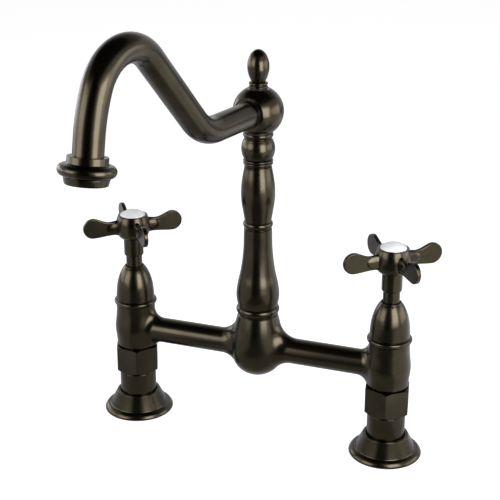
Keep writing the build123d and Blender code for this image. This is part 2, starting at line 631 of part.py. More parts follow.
def aerator_housing():
    """Tapered outlet rim with the thread that screws into the ferrule."""
    top = -COLLAR_HEIGHT - BEAD_HEIGHT - SHADOW_GAP
    bottom = top - RIM_HEIGHT
    return turned_wires(
        line((AERATOR_THREAD_R, top + AERATOR_THREAD_LENGTH), (AERATOR_THREAD_R, top), (RIM_TOP_R, top),
             (RIM_BOTTOM_R, bottom + 0.9))
        + bow((RIM_BOTTOM_R, bottom + 0.9), (RIM_BOTTOM_R - 0.3, bottom + 0.25), (RIM_BOTTOM_R - 0.9, bottom))
        + line((RIM_BOTTOM_R - 0.9, bottom), (AERATOR_MOUTH_R, bottom),
               (AERATOR_MOUTH_R, bottom + AERATOR_LEDGE), (AERATOR_BORE_R, bottom + AERATOR_LEDGE),
               (AERATOR_BORE_R, top + AERATOR_THREAD_LENGTH),
               (AERATOR_THREAD_R, top + AERATOR_THREAD_LENGTH))
    )


def aerator_screen():
    """Perforated insert on the housing's ledge."""
    low = -COLLAR_HEIGHT - BEAD_HEIGHT - SHADOW_GAP - RIM_HEIGHT + AERATOR_LEDGE
    screen = rod(AERATOR_BORE_R - JOINT_FIT, low, low + SCREEN_THICK)
    holes = [Pos(0, 0, low - 1) * location * rod(SCREEN_HOLE_R, 0, SCREEN_THICK + 2)
             for count, reach in ((1, 0.0), (6, 0.28), (12, 0.55), (18, 0.82))
             for location in PolarLocations(reach * AERATOR_BORE_R, count)]
    return screen - holes


def aerator_gasket():
    """Flat gasket between the housing and the ferrule's shoulder."""
    low = -COLLAR_HEIGHT - BEAD_HEIGHT - SHADOW_GAP + AERATOR_THREAD_LENGTH
    return ring(AERATOR_BORE_R - 0.6, AERATOR_THREAD_R - 0.2, low, low + GASKET_THICK)


# ------------------------------------------------------------------ valve trim and cartridge
def bonnet():
    """Egg-shaped bonnet over the cartridge, with a bead round its foot."""
    foot, top = bonnet_bottom, bonnet_top
    hole = BONNET_HOLE_R
    rim = hole + 1.0
    inner = NECK_R + JOINT_FIT
    outline = (
        line((inner, foot), (BONNET_BASE_R, foot), (BONNET_BASE_R + 0.4, foot + 0.3))
        + bow((BONNET_BASE_R + 0.4, foot + 0.3), (BONNET_BEAD_R, foot + 2.1),
              (BONNET_BASE_R + 0.3, foot + 3.9))
        + line((BONNET_BASE_R + 0.3, foot + 3.9), (BONNET_BASE_R - 0.4, foot + 4.1),
               (BONNET_BASE_R, foot + 4.7))
        + swell((BONNET_BASE_R, foot + 4.7), (0.975 * BONNET_BASE_R, foot + 0.33 * BONNET_HEIGHT),
                (0.915 * BONNET_BASE_R, foot + 0.55 * BONNET_HEIGHT),
                (0.775 * BONNET_BASE_R, foot + 0.77 * BONNET_HEIGHT),
                (0.63 * BONNET_BASE_R, foot + 0.91 * BONNET_HEIGHT), (rim, top - 0.5))
        + bow((rim, top - 0.5), (rim - 0.35, top - 0.1), (rim - 0.8, top))
        + line((rim - 0.8, top), (hole, top - 0.3), (hole, top - 5.5), (hole + 2.8, top - 10.5),
               (inner - 1.0, cartridge_head_top + 2.5), (inner, cartridge_head_top + 1.0), (inner, foot))
    )
    return turned_wires(outline)


def cartridge():
    """Quarter-turn cartridge body: disc chamber with side windows, thread, hexagon and nose."""
    body = rod(SKIRT_R, cartridge_bottom, body_top)
    body += rod(CARTRIDGE_BORE_R, body_top - CARTRIDGE_THREAD_LENGTH, neck_top)
    body += hexagon(CARTRIDGE_FLATS, neck_top, cartridge_head_top) & rod(NECK_R, neck_top, cartridge_head_top)
    body += rod(CARTRIDGE_NOSE_R, neck_top, cartridge_top)
    body -= rod(DISC_CHAMBER_R, cartridge_bottom - 1, driver_top + FACE_GAP)
    body -= rod(STEM_R + RUNNING_FIT, cartridge_bottom, cartridge_top + 1)
    window_height = DRIVER_THICK - 0.6
    window = Pos(0, 0, driver_bottom) * Box(4 * SKIRT_R, WINDOW_WIDTH, window_height,
                                            align=(Align.CENTER, Align.CENTER, Align.MIN))
    return body - window


def seat_seal():
    """Rubber seal between the valve seat and the fixed disc."""
    return ring(SEAT_SEAL_INNER_R, SEAT_SEAL_OUTER_R, seat, seat + SEAT_SEAL_THICK)


def ceramic_disc(low, hole_turn):
    """One lapped ceramic disc with two ports."""
    disc = rod(DISC_CHAMBER_R - RUNNING_FIT, low, low + DISC_THICK)
    port = rod(DISC_HOLE_R, low - 1, low + DISC_THICK + 1)
    return disc - [Rot(0, 0, hole_turn) * Pos(side * DISC_HOLE_OFFSET, 0, 0) * port for side in (-1, 1)]


def stem():
    """Cartridge stem: a driver that carries the moving disc, and the shaft up to the handle."""
    driver = rod(DISC_CHAMBER_R - RUNNING_FIT, driver_bottom, driver_top)
    slot = Pos(0, 0, driver_bottom) * Box(4 * SKIRT_R, DISC_CHAMBER_R, DRIVER_THICK - 1,
                                          align=(Align.CENTER, Align.CENTER, Align.MIN))
    shaft = rod(STEM_R, driver_bottom, stem_top)
    stem_piece = driver - slot + shaft
    return stem_piece - ring(STEM_R - 0.9, STEM_R + 1, cartridge_head_top, cartridge_head_top + 1.8)


def stem_o_ring():
    """Seal round the stem inside the cartridge's nose."""
    section = 0.42
    return Pos(0, 0, cartridge_head_top + 0.9) * Torus(STEM_R - section - 0.02, section)


def stem_extension():
    """Round extension on the stem: it leaves the bonnet, and the handle seats on its shoulder."""
    low = cartridge_top + FACE_GAP
    piece = rod(EXTENSION_R, low, handle_bottom) + rod(EXTENSION_SPIGOT_R, handle_bottom - 1, spigot_top)
    piece -= rod(STEM_R + JOINT_FIT, low - 1, stem_top + SHADOW_GAP)
    return piece - rod(SCREW_R + JOINT_FIT, screw_seat - SCREW_LENGTH - 0.5, spigot_top + 1)


# ------------------------------------------------------------------ handle
def paddle():
    """One flat paddle along +X: a straight neck that swells to a round tip, fuller above."""
    tip_x = PADDLE_REACH - PADDLE_TIP_R
    tip_low = (tip_x, PADDLE_TIP_LIFT - PADDLE_TIP_R)
    lean = math.radians(112)
    tip_high = (tip_x + PADDLE_TIP_R * math.cos(lean), PADDLE_TIP_LIFT + PADDLE_TIP_R * math.sin(lean))
    root = PADDLE_ROOT
    neck_x = root + 8
    with BuildSketch(Plane.XZ) as blade:
        with BuildLine():
            Line((root, PADDLE_NECK), (root, -PADDLE_NECK))
            Spline((root, -PADDLE_NECK), (neck_x, -PADDLE_NECK - 0.1), tip_low, tangents=((1, 0), (1, 0)))
            ThreePointArc(tip_low, (PADDLE_REACH, PADDLE_TIP_LIFT), tip_high)
            Spline(tip_high, (neck_x, PADDLE_NECK - 0.2), (root, PADDLE_NECK),
                   tangents=((-math.sin(lean), math.cos(lean)), (-1, 0)))
        make_face()
    plate = extrude(blade.sketch, PADDLE_THICK / 2, both=True)
    rim = [edge for edge in plate.edges() if edge.center().X > root + 1]
    return fillet(rim, PADDLE_EDGE)


def paddle_boss():
    """Oval boss along +X that carries a paddle: fuller at the hub, fading into the flat."""
    (wide, start), (thin, end) = BOSS_FLARE[0], BOSS_FLARE[-1]
    outline = (line((0, 0), (wide, 0), (wide, start)) + swell(*BOSS_FLARE)
               + line((thin, end), (0, end), (0, 0)))
    return scale(Rot(0, 90, 0) * turned_wires(outline), by=(1, BOSS_FLAT, 1))


def handle():
    """Cross handle: sleeve, barrel hub and four paddles on oval bosses."""
    low = handle_bottom
    outline = (
        line((0, low), (SLEEVE_R - 0.5, low), (SLEEVE_R, low + 0.8), (SLEEVE_R, hub_foot))
        + swell((SLEEVE_R, hub_foot), (0.86 * HANDLE_HUB_R, hub_foot + 0.13 * HANDLE_HUB_HEIGHT),
                (0.985 * HANDLE_HUB_R, hub_foot + 0.38 * HANDLE_HUB_HEIGHT),
                (0.975 * HANDLE_HUB_R, hub_foot + 0.72 * HANDLE_HUB_HEIGHT),
                (HANDLE_RIM_R + 0.5, handle_top - 0.7))
        + bow((HANDLE_RIM_R + 0.5, handle_top - 0.7), (HANDLE_RIM_R + 0.25, handle_top - 0.15),
              (HANDLE_RIM_R - 0.2, handle_top))
        + line((HANDLE_RIM_R - 0.2, handle_top), (0, handle_top), (0, low))
    )
    arm = paddle() + paddle_boss()
    piece = turned_wires(outline)
    for step in range(PADDLE_COUNT):
        piece += Pos(0, 0, low + ARM_HEIGHT) * Rot(0, 0, step * 360 / PADDLE_COUNT) * arm
    piece -= rod(EXTENSION_SPIGOT_R + JOINT_FIT, low - 1, spigot_top)
    piece -= rod(SCREW_R + 0.2, low, handle_top)
    piece -= rod(BUTTON_PLUG_R + JOINT_FIT, screw_seat, handle_top)
    return piece - rod(BUTTON_R + BUTTON_FIT, handle_top - BUTTON_RECESS, handle_top + 1)


def handle_screw():
    """Socket-head screw that clamps the handle to the stem extension."""
    screw = rod(SCREW_R, screw_seat - SCREW_LENGTH, screw_seat + 1)
    screw += rod(SCREW_HEAD_R, screw_seat, screw_seat + SCREW_HEAD_THICK)
    return screw - hexagon(SCREW_SOCKET_FLATS, screw_seat + 1, screw_seat + SCREW_HEAD_THICK + 1)


def index_button():
    """Plain porcelain button: a domed disc with a plug that snaps into the handle."""
    seat_height = handle_top - BUTTON_RECESS
    shoulder = handle_top + BUTTON_SHOW
    edge_r = BUTTON_R - 0.7
    return turned_wires(
        line((0, seat_height - BUTTON_PLUG), (BUTTON_PLUG_R, seat_height - BUTTON_PLUG),
             (BUTTON_PLUG_R, seat_height), (BUTTON_R, seat_height), (BUTTON_R, shoulder - 0.4))
        + bow((BUTTON_R, shoulder - 0.4), (BUTTON_R - 0.2, shoulder), (edge_r, shoulder + 0.3))
        + dome(edge_r, shoulder + 0.3, shoulder + BUTTON_DOME)
        + line((0, shoulder + BUTTON_DOME), (0, seat_height - BUTTON_PLUG))
    )


# ------------------------------------------------------------------ assembly
def side_pieces(side):
    """Every piece of one side, in place."""
    column = Pos(SIDES[side] * INLET_SPACING / 2, 0, 0)
    towards_hub = column * Rot(0, 0, 0 if side == "hot" else 180)
    turned_handle = column * Rot(0, 0, HANDLE_TURN[side])
    return {
        f"base_flange_{side}": column * base_flange(),
        f"inlet_shank_{side}": column * inlet_shank(),
        f"union_nut_{side}": column * union_nut(NUT_TURN[side]),
        f"union_washer_{side}": column * union_washer(),
        f"union_tail_{side}": column * union_tail(),
        f"valve_body_{side}": towards_hub * valve_body(),
        f"bridge_tube_{side}": towards_hub * bridge_tube(),
        f"cartridge_{side}": towards_hub * cartridge(),
        f"seat_seal_{side}": column * seat_seal(),
        f"fixed_disc_{side}": column * ceramic_disc(disc_bottom, 0),
        f"moving_disc_{side}": column * ceramic_disc(disc_face, 90),
        f"stem_{side}": column * stem(),
        f"stem_o_ring_{side}": column * stem_o_ring(),
        f"bonnet_{side}": column * bonnet(),
        f"stem_extension_{side}": column * stem_extension(),
        f"handle_{side}": turned_handle * handle(),
        f"handle_screw_{side}": column * handle_screw(),
        f"index_button_{side}": column * index_button(),
    }


def centre_pieces():
    """The pieces on the centre line, and the spout turned to its place."""
    swing = Rot(0, 0, -90 - SPOUT_SWING)
    outlet = swing * outlet_place()
    return {
        "bridge_hub": bridge_hub(),
        "riser_washer": riser_washer(),
        "riser": riser(),
        "swivel_post": swivel_post(),
        "post_o_rings": post_o_rings(),
        "swivel_washer": swivel_washer(),
        "finial_washer": finial_washer(),
        "finial": finial(),
        "spout_hub": swing * spout_hub(),
        "spout_tube": swing * spout_tube(),
        "spout_collar": outlet * spout_collar(),
        "aerator_housing": outlet * aerator_housing(),
        "aerator_screen": outlet * aerator_screen(),
        "aerator_gasket": outlet * aerator_gasket(),
    }


pieces = centre_pieces() | side_pieces("hot") | side_pieces("cold")
os.makedirs("parts", exist_ok=True)
for name, piece in pieces.items():
    export_step(piece, f"parts/{name}.step")
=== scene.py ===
"""Looks of a bridge kitchen faucet: oil-rubbed bronze castings and turnings, porcelain buttons.

Every size of the faucet is in millimetres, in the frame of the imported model: the origin on the
deck midway between the inlets, +X from the hot valve to the cold one, -Y towards the user, +Z up.
Meshes are built in millimetres and brought to metres when they are finished. The studio is laid
out in metres.
"""

import json
import logging
import math
from dataclasses import dataclass, field
from enum import Enum

import bmesh
import bpy
from mathutils import Matrix, Vector


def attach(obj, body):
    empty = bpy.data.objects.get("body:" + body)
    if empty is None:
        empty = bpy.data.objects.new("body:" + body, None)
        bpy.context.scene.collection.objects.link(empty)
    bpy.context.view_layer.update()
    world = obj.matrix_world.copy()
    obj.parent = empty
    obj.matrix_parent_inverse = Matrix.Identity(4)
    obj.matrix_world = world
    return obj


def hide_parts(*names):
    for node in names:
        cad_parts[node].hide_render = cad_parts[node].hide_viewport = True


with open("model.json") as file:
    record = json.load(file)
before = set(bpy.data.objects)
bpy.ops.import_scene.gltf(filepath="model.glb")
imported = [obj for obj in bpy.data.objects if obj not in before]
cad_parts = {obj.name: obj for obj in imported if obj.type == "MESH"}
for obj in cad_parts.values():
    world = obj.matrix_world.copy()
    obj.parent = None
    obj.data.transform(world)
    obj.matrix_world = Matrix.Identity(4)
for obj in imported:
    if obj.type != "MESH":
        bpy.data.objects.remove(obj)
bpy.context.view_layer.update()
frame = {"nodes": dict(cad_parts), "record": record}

log = logging.getLogger("faucet")
MM = 0.001
INLET_SPACING = 203.2
AROUND = 96                  # steps of a full turn
SLIM_AROUND = 64             # the same round the spout tube and the stems
SHARP = math.radians(32)     # edges sharper than this keep a crisp line
SHADOW_GAP = 0.2             # the fine dark line between two turned pieces
THREAD_GAP = 0.05            # between a thread and its bore
STROKE_WELD = 0.003          # ends of strokes nearer than this become one point
SOLID_WELD = 0.002           # and so do points of a turned solid
SLIVER = 1e-7                # edges shorter than this, in metres, are dissolved
EASE_STEPS = 5               # chords of an eased corner
QUARTER = 0.3                # how far the middle of a quarter round lies in, as a share of its radius
NOISE_MIDDLE = 0.5           # the value that noise swings about
FINE_NOISE = 0.55            # weight of the finer noise in a grain
MIX_FIRST, MIX_SECOND, MIX_COLOUR = 6, 7, 2     # a Mix node's two colour inputs and its colour output
WHITE = (1.0, 1.0, 1.0)
EVEN = (1.0, 1.0, 1.0)       # scale of a pattern that isn't stretched

Colour = tuple[float, float, float]
Triple = tuple[float, float, float]     # a point in metres, or a pattern's scale along each axis
Span = tuple[float, float]              # a low and a high value
Step = tuple[float, float]              # an offset: how far in or out, and how far up or down
Corner = tuple[float, ...]              # radius, height and, where a corner is eased, its rounding
Shares = tuple[tuple[float, float], ...]   # points as shares of a radius and of a height
Solid = bmesh.types.BMesh
Edges = list[bmesh.types.BMEdge]


class Side(Enum):
    """The two valve columns, with their place along X."""

    HOT = ("hot", -INLET_SPACING / 2)
    COLD = ("cold", INLET_SPACING / 2)

    @property
    def word(self) -> str:
        """Ending of this side's node names."""
        return self.value[0]

    @property
    def place(self) -> Matrix:
        """Place of this side's column axis."""
        return Matrix.Translation((self.value[1], 0, 0))


# ---------------------------------------------------------------- shader writing
class Tone:
    """A value in a finish's node tree that takes part in sums written in Python."""

    def __init__(self, recipe: "Recipe", socket: bpy.types.NodeSocket | None) -> None:
        """Wraps a socket.

        Args:
            recipe: The node tree that holds it.
            socket: An output socket, or None where the node has none.
        """
        self.recipe = recipe
        self.socket = socket

    def _sum(self, operation: str, first: "Tone | float", second: "Tone | float") -> "Tone":
        """Adds one Math node.

        Args:
            operation: The Math node's operation.
            first: Its first value.
            second: Its second value.

        Returns:
            The node's result.
        """
        return self.recipe.node("ShaderNodeMath", {"operation": operation}, {0: first, 1: second})

    def __add__(self, other: "Tone | float") -> "Tone":
        """self + other."""
        return self._sum("ADD", self, other)

    __radd__ = __add__

    def __mul__(self, other: "Tone | float") -> "Tone":
        """self * other."""
        return self._sum("MULTIPLY", self, other)

    __rmul__ = __mul__

    def __sub__(self, other: "Tone | float") -> "Tone":
        """self - other."""
        return self._sum("SUBTRACT", self, other)

    def __rsub__(self, other: "Tone | float") -> "Tone":
        """other - self."""
        return self._sum("SUBTRACT", other, self)

    def over(self, span: Span) -> "Tone":
        """This value spread smoothly from 0 to 1.

        Args:
            span: The values that become 0 and 1.

        Returns:
            The spread value.
        """
        low, high = span
        return self.recipe.node("ShaderNodeMapRange", {"interpolation_type": "SMOOTHSTEP"},
                                {"Value": self, "From Min": low, "From Max": high})


class Recipe:
    """The node tree of one finish."""

    def __init__(self, tree: bpy.types.NodeTree) -> None:
        """Clears the tree and starts afresh.

        Args:
            tree: The node tree of a material or a world.
        """
        self.tree = tree
        tree.nodes.clear()

    def node(self, kind: str, settings: dict[str, object], values: dict[int | str, object],
             result: int | str = 0) -> Tone:
        """Adds a node.

        Args:
            kind: The node's type.
            settings: Its properties, set first.
            values: Values or Tones for its sockets.
            result: Which output is wanted.

        Returns:
            That output.
        """
        made = self.tree.nodes.new(kind)
        for name, value in settings.items():
            setattr(made, name, value)
        for key, value in values.items():
            if isinstance(value, Tone):
                self.tree.links.new(value.socket, made.inputs[key])
            elif isinstance(value, tuple) and made.inputs[key].type == "RGBA":
                made.inputs[key].default_value = (*value, 1.0)
            else:
                made.inputs[key].default_value = value
        return Tone(self, made.outputs[result] if len(made.outputs) else None)

    def grain(self, size: float, detail: float, stretch: Triple = EVEN) -> Tone:
        """Noise with features of a given size, on Object coordinates.

        Args:
            size: Size of its features in millimetres.
            detail: How much finer noise rides on it.
            stretch: Scale of the pattern along each axis.

        Returns:
            Noise from 0 to 1.
        """
        spot = self.node("ShaderNodeTexCoord", {}, {}, "Object")
        places = self.node("ShaderNodeMapping", {}, {"Vector": spot, "Scale": stretch})
        return self.node("ShaderNodeTexNoise", {}, {"Vector": places, "Scale": 1 / (size * MM),
                                                    "Detail": detail, "Roughness": FINE_NOISE})

    def blend(self, share: Tone | float, low: Colour | Tone, high: Colour | Tone) -> Tone:
        """Mixes two colours.

        Args:
            share: 0 gives low, 1 gives high.
            low: First colour.
            high: Second colour.

        Returns:
            The mixed colour.
        """
        return self.node("ShaderNodeMix", {"data_type": "RGBA"},
                         {0: share, MIX_FIRST: low, MIX_SECOND: high}, MIX_COLOUR)

    def bump(self, height: Tone, depth: float, strength: float = 1.0) -> Tone:
        """Surface normal of a relief.

        Args:
            height: The relief, from 0 to 1.
            depth: Its depth in millimetres.
            strength: How strongly it shows.

        Returns:
            The normal.
        """
        return self.node("ShaderNodeBump", {},
                         {"Height": height, "Distance": depth * MM, "Strength": strength})

    def surface(self, **values: object) -> None:
        """Ends the tree in a Principled shader.

        Args:
            values: Its sockets, written with _ for a space.
        """
        shader = self.node("ShaderNodeBsdfPrincipled", {},
                           {name.replace("_", " "): value for name, value in values.items()})
        self.node("ShaderNodeOutputMaterial", {}, {"Surface": shader})


# ---------------------------------------------------------------- finishes
@dataclass(frozen=True)
class Finish:
    """A finish and the record's material slot it belongs to."""

    slot: str

    def write(self, recipe: Recipe) -> None:
        """Writes the finish's nodes.

        Args:
            recipe: The node tree to write in.
        """
        raise NotImplementedError

    def material(self) -> bpy.types.Material:
        """The finish as a material, made once."""
        name = f"finish_{self.slot}"
        made = bpy.data.materials.get(name)
        if made is None:
            made = bpy.data.materials.new(name)
            made.use_nodes = True
            self.write(Recipe(made.node_tree))
        return made

    def dress(self, piece: bpy.types.Object) -> None:
        """Puts the finish on a piece.

        Args:
            piece: A new piece or a CAD node.
        """
        if not piece.material_slots:
            piece.data.materials.append(None)
        for place in piece.material_slots:
            place.link = "OBJECT"
            place.material = self.material()


@dataclass(frozen=True)
class OilRubbedBronze(Finish):
    """Dark brown patina under a satin lacquer, a little warmer where the oil has thinned."""

    slot: str = "oil_rubbed_bronze"
    deep: Colour = (0.0345, 0.0270, 0.0118)
    warm: Colour = (0.0520, 0.0415, 0.0198)
    lacquer: float = 0.36
    lacquer_gloss: float = 0.24
    gloss: float = 0.235
    rub_swing: float = 0.06
    grain_swing: float = 0.04
    cloud_size: float = 16.0
    cloud_span: Span = (0.35, 0.68)
    cloud_share: float = 0.75
    grain_size: float = 0.35
    rub_size: float = 2.4
    rub_stretch: Triple = (1.0, 1.0, 0.18)
    rub_relief: float = 0.3
    relief: float = 0.004

    def write(self, recipe: Recipe) -> None:
        """Writes clouded patina, satin grain and fine rubbing marks.

        Args:
            recipe: The node tree to write in.
        """
        cloud = recipe.grain(self.cloud_size, detail=4.0).over(self.cloud_span)
        grain = recipe.grain(self.grain_size, detail=2.0)
        rubbed = recipe.grain(self.rub_size, detail=3.0, stretch=self.rub_stretch)
        swing = (rubbed - NOISE_MIDDLE) * self.rub_swing + (grain - NOISE_MIDDLE) * self.grain_swing
        share = cloud * self.cloud_share + grain * (1 - self.cloud_share)
        recipe.surface(
            Base_Color=recipe.blend(share, self.deep, self.warm),
            Metallic=1.0,
            Roughness=swing + self.gloss,
            Coat_Weight=self.lacquer,
            Coat_Roughness=self.lacquer_gloss,
            Normal=recipe.bump(grain * (1 - self.rub_relief) + rubbed * self.rub_relief, self.relief),
        )


@dataclass(frozen=True)
class Porcelain(Finish):
    """Glazed white porcelain, faintly clouded under the glaze."""

    slot: str = "porcelain"
    white: Colour = (0.86, 0.865, 0.83)
    cloudy: Colour = (0.79, 0.79, 0.765)
    gloss: float = 0.10
    gloss_swing: float = 0.06
    glaze: float = 0.5
    glaze_gloss: float = 0.04
    cloud_size: float = 5.0
    cloud_span: Span = (0.45, 0.75)
    cloud_share: float = 0.5
    speck_size: float = 0.25
    speck_span: Span = (0.74, 0.80)
    speck_share: float = 0.25
    wave_size: float = 2.2
    wave_depth: float = 0.01
    wave_strength: float = 0.6

    def write(self, recipe: Recipe) -> None:
        """Writes the clouded body and the slightly wavy glaze.

        Args:
            recipe: The node tree to write in.
        """
        cloud = recipe.grain(self.cloud_size, detail=4.0)
        speck = recipe.grain(self.speck_size, detail=1.0).over(self.speck_span)
        wave = recipe.grain(self.wave_size, detail=1.0)
        share = cloud.over(self.cloud_span) * self.cloud_share + speck * self.speck_share
        recipe.surface(
            Base_Color=recipe.blend(share, self.white, self.cloudy),
            Roughness=cloud * self.gloss_swing + self.gloss,
            Coat_Weight=self.glaze,
            Coat_Roughness=self.glaze_gloss,
            Normal=recipe.bump(wave, self.wave_depth, self.wave_strength),
        )


@dataclass(frozen=True)
class MachinedMetal(Finish):
    """Bare metal with the fine rings that a lathe leaves."""

    pale: Colour = (0.62, 0.46, 0.20)
    dull: Colour = (0.50, 0.36, 0.16)
    gloss: float = 0.28
    tarnish_size: float = 6.0
    tarnish_span: Span = (0.4, 0.7)
    tarnish_gloss: float = 0.05
    ring_size: float = 0.5
    ring_stretch: Triple = (0.05, 0.05, 3.0)
    ring_gloss: float = 0.12
    ring_depth: float = 0.006

    def write(self, recipe: Recipe) -> None:
        """Writes tool rings and slight tarnish.

        Args:
            recipe: The node tree to write in.
        """
        tarnish = recipe.grain(self.tarnish_size, detail=4.0).over(self.tarnish_span)
        rings = recipe.grain(self.ring_size, detail=1.0, stretch=self.ring_stretch)
        recipe.surface(
            Base_Color=recipe.blend(tarnish, self.pale, self.dull),
            Metallic=1.0,
            Roughness=rings * self.ring_gloss + tarnish * self.tarnish_gloss + self.gloss,
            Normal=recipe.bump(rings, self.ring_depth),
        )


@dataclass(frozen=True)
class MouldedPart(Finish):
    """Rubber, fibre, plastic or lapped ceramic: one colour with its own grain."""

    body: Colour = (0.7, 0.7, 0.7)
    fleck: Colour = (0.6, 0.6, 0.6)
    gloss: float = 0.5
    grain_size: float = 0.3
    relief: float = 0.01
    gloss_swing: float = 0.1
    fleck_span: Span = (0.5, 0.75)
    fleck_share: float = 0.6
    broad_share: float = 0.3
    broad_size: float = 12.0     # grains to a broad patch

    def write(self, recipe: Recipe) -> None:
        """Writes a flecked body with a fine relief.

        Args:
            recipe: The node tree to write in.
        """
        fine = recipe.grain(self.grain_size, detail=2.0)
        broad = recipe.grain(self.grain_size * self.broad_size, detail=3.0)
        share = fine.over(self.fleck_span) * self.fleck_share + broad * self.broad_share
        recipe.surface(
            Base_Color=recipe.blend(share, self.body, self.fleck),
            Roughness=(broad - NOISE_MIDDLE) * self.gloss_swing + self.gloss,
            Normal=recipe.bump(fine, self.relief),
        )


BRONZE = OilRubbedBronze()
FINISHES = {finish.slot: finish for finish in (
    BRONZE,
    Porcelain(),
    MachinedMetal("bare_brass"),
    MachinedMetal("steel", pale=(0.56, 0.56, 0.55), dull=(0.46, 0.46, 0.46), gloss=0.24),
    MouldedPart("ceramic", body=(0.80, 0.79, 0.74), fleck=(0.72, 0.71, 0.67),
                gloss=0.16, grain_size=0.2, relief=0.002),
    MouldedPart("rubber", body=(0.020, 0.020, 0.020), fleck=(0.035, 0.034, 0.033),
                gloss=0.55, grain_size=0.25, relief=0.02),
    MouldedPart("acetal", body=(0.025, 0.024, 0.023), fleck=(0.04, 0.038, 0.036),
                gloss=0.42, grain_size=0.3, relief=0.006),
    MouldedPart("fibre", body=(0.30, 0.07, 0.05), fleck=(0.38, 0.13, 0.09),
                gloss=0.75, grain_size=0.4, relief=0.03),
)}


# ---------------------------------------------------------------- mesh making
class Outline:
    """The outline of a turned piece: strokes drawn in the XZ plane, then spun round Z."""

    def __init__(self) -> None:
        """Starts with no strokes."""
        self.mesh = bmesh.new()
        self.eased: list[Corner] = []

    def line(self, *corners: Corner) -> "Outline":
        """Straight strokes.

        Args:
            corners: (radius, height) of each corner, with a rounding after it where it is eased.

        Returns:
            This outline.
        """
        self.eased += [corner for corner in corners if len(corner) > 2]
        dots = [self.mesh.verts.new((corner[0], 0, corner[1])) for corner in corners]
        for start, end in zip(dots, dots[1:]):
            self.mesh.edges.new((start, end))
        return self

    def bow(self, start: Corner, middle: Corner, end: Corner, steps: int = 12) -> "Outline":
        """An arc through three points.

        Args:
            start: (radius, height) where it begins.
            middle: A point that it passes through.
            end: Where it ends.
            steps: How many chords it has.

        Returns:
            This outline.
        """
        a, b, c = (Vector(point[:2]) for point in (start, middle, end))
        twist = (b - a).cross(c - b)
        square = 2 * (a.x * (b.y - c.y) + b.x * (c.y - a.y) + c.x * (a.y - b.y))
        aa, bb, cc = (point.length_squared for point in (a, b, c))
        centre = Vector((aa * (b.y - c.y) + bb * (c.y - a.y) + cc * (a.y - b.y),
                         aa * (c.x - b.x) + bb * (a.x - c.x) + cc * (b.x - a.x))) / square
        turn = (math.atan2(c.y - centre.y, c.x - centre.x) - math.atan2(a.y - centre.y, a.x - centre.x))
        turn = turn % math.tau if twist > 0 else turn % math.tau - math.tau
        pen = self.mesh.verts.new((a.x, 0, a.y))
        bmesh.ops.spin(self.mesh, geom=[pen], cent=(centre.x, 0, centre.y), axis=(0, -1, 0), dvec=(0, 0, 0),
                       angle=turn, steps=steps, use_duplicate=False)
        return self

    def swell(self, *spots: Corner, steps: int = 10) -> "Outline":
        """A smooth stroke through several points.

        Args:
            spots: (radius, height) of each point.
            steps: How many chords it has between two points.

        Returns:
            This outline.
        """
        curve = bpy.data.curves.new("stroke", "CURVE")
        curve.dimensions = "3D"
        stroke = curve.splines.new("BEZIER")
        stroke.bezier_points.add(len(spots) - 1)
        stroke.resolution_u = steps
        for point, (radius, height) in zip(stroke.bezier_points, spots):
            point.co = (radius, 0, height)
            point.handle_left_type = point.handle_right_type = "AUTO"
        holder = bpy.data.objects.new("stroke", curve)
        drawn = bpy.data.meshes.new_from_object(holder)
        self.mesh.from_mesh(drawn)
        bpy.data.objects.remove(holder)
        bpy.data.curves.remove(curve)
        bpy.data.meshes.remove(drawn)
        return self

    def turned(self, place: Matrix = Matrix(), steps: int = AROUND) -> Solid:
        """Spins the outline into a closed solid.

        Args:
            place: Where the solid goes.
            steps: Steps of the full turn.

        Returns:
            The solid.
        """
        bm = self.mesh
        bmesh.ops.remove_doubles(bm, verts=bm.verts[:], dist=STROKE_WELD)
        for radius, height, rounding in self.eased:
            spot = Vector((radius, 0, height))
            nearest = min(bm.verts, key=lambda vert: (vert.co - spot).length)
            bmesh.ops.bevel(bm, geom=[nearest], offset=rounding, offset_type="OFFSET", segments=EASE_STEPS,
                            profile=0.5, affect="VERTICES", material=-1, clamp_overlap=True)
        bmesh.ops.spin(bm, geom=bm.verts[:] + bm.edges[:], cent=(0, 0, 0), axis=(0, 0, 1), dvec=(0, 0, 0),
                       angle=math.tau, steps=steps, use_merge=True, use_duplicate=False)
        bmesh.ops.remove_doubles(bm, verts=bm.verts[:], dist=SOLID_WELD)
        bmesh.ops.transform(bm, matrix=place, verts=bm.verts[:])
        return bm


def knots(shares: Shares, radius: float, foot: float, height: float) -> list[Corner]:
    """Points of a swelling stroke.

    Args:
        shares: Each point's share of the radius and of the height.
        radius: The stroke's radius.
        foot: Height where it starts.
        height: Its height.

    Returns:
        (radius, height) of each point.
    """
    return [(wide * radius, foot + high * height) for wide, high in shares]


def shown(bm: Solid, name: str, body: str, finish: Finish, *nodes: str) -> bpy.types.Object:
    """Turns a finished solid in millimetres into a piece of the faucet.

    Args:
        bm: The solid, which this call frees.
        name: The piece's name.
        body: The CAD body it rides on.
        finish: Its finish.
        nodes: The CAD nodes it stands for.

    Returns:
        The piece.
    """
    bmesh.ops.transform(bm, matrix=Matrix.Scale(MM, 4), verts=bm.verts[:])
    bmesh.ops.dissolve_degenerate(bm, dist=SLIVER, edges=bm.edges[:])
    bmesh.ops.recalc_face_normals(bm, faces=bm.faces[:])
    for face in bm.faces:
        face.smooth = True
    for edge in bm.edges:
        edge.smooth = len(edge.link_faces) == 2 and edge.calc_face_angle() < SHARP
    open_edges = sum(not edge.is_manifold for edge in bm.edges)
    mesh = bpy.data.meshes.new(name)
    bm.to_mesh(mesh)
    bm.free()
    piece = bpy.data.objects.new(name, mesh)
    bpy.context.scene.collection.objects.link(piece)
    finish.dress(piece)
    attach(piece, body)
    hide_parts(*nodes)
    log.info("%s: %d faces, %d open edges, on %s", name, len(mesh.polygons), open_edges, body)
    return piece


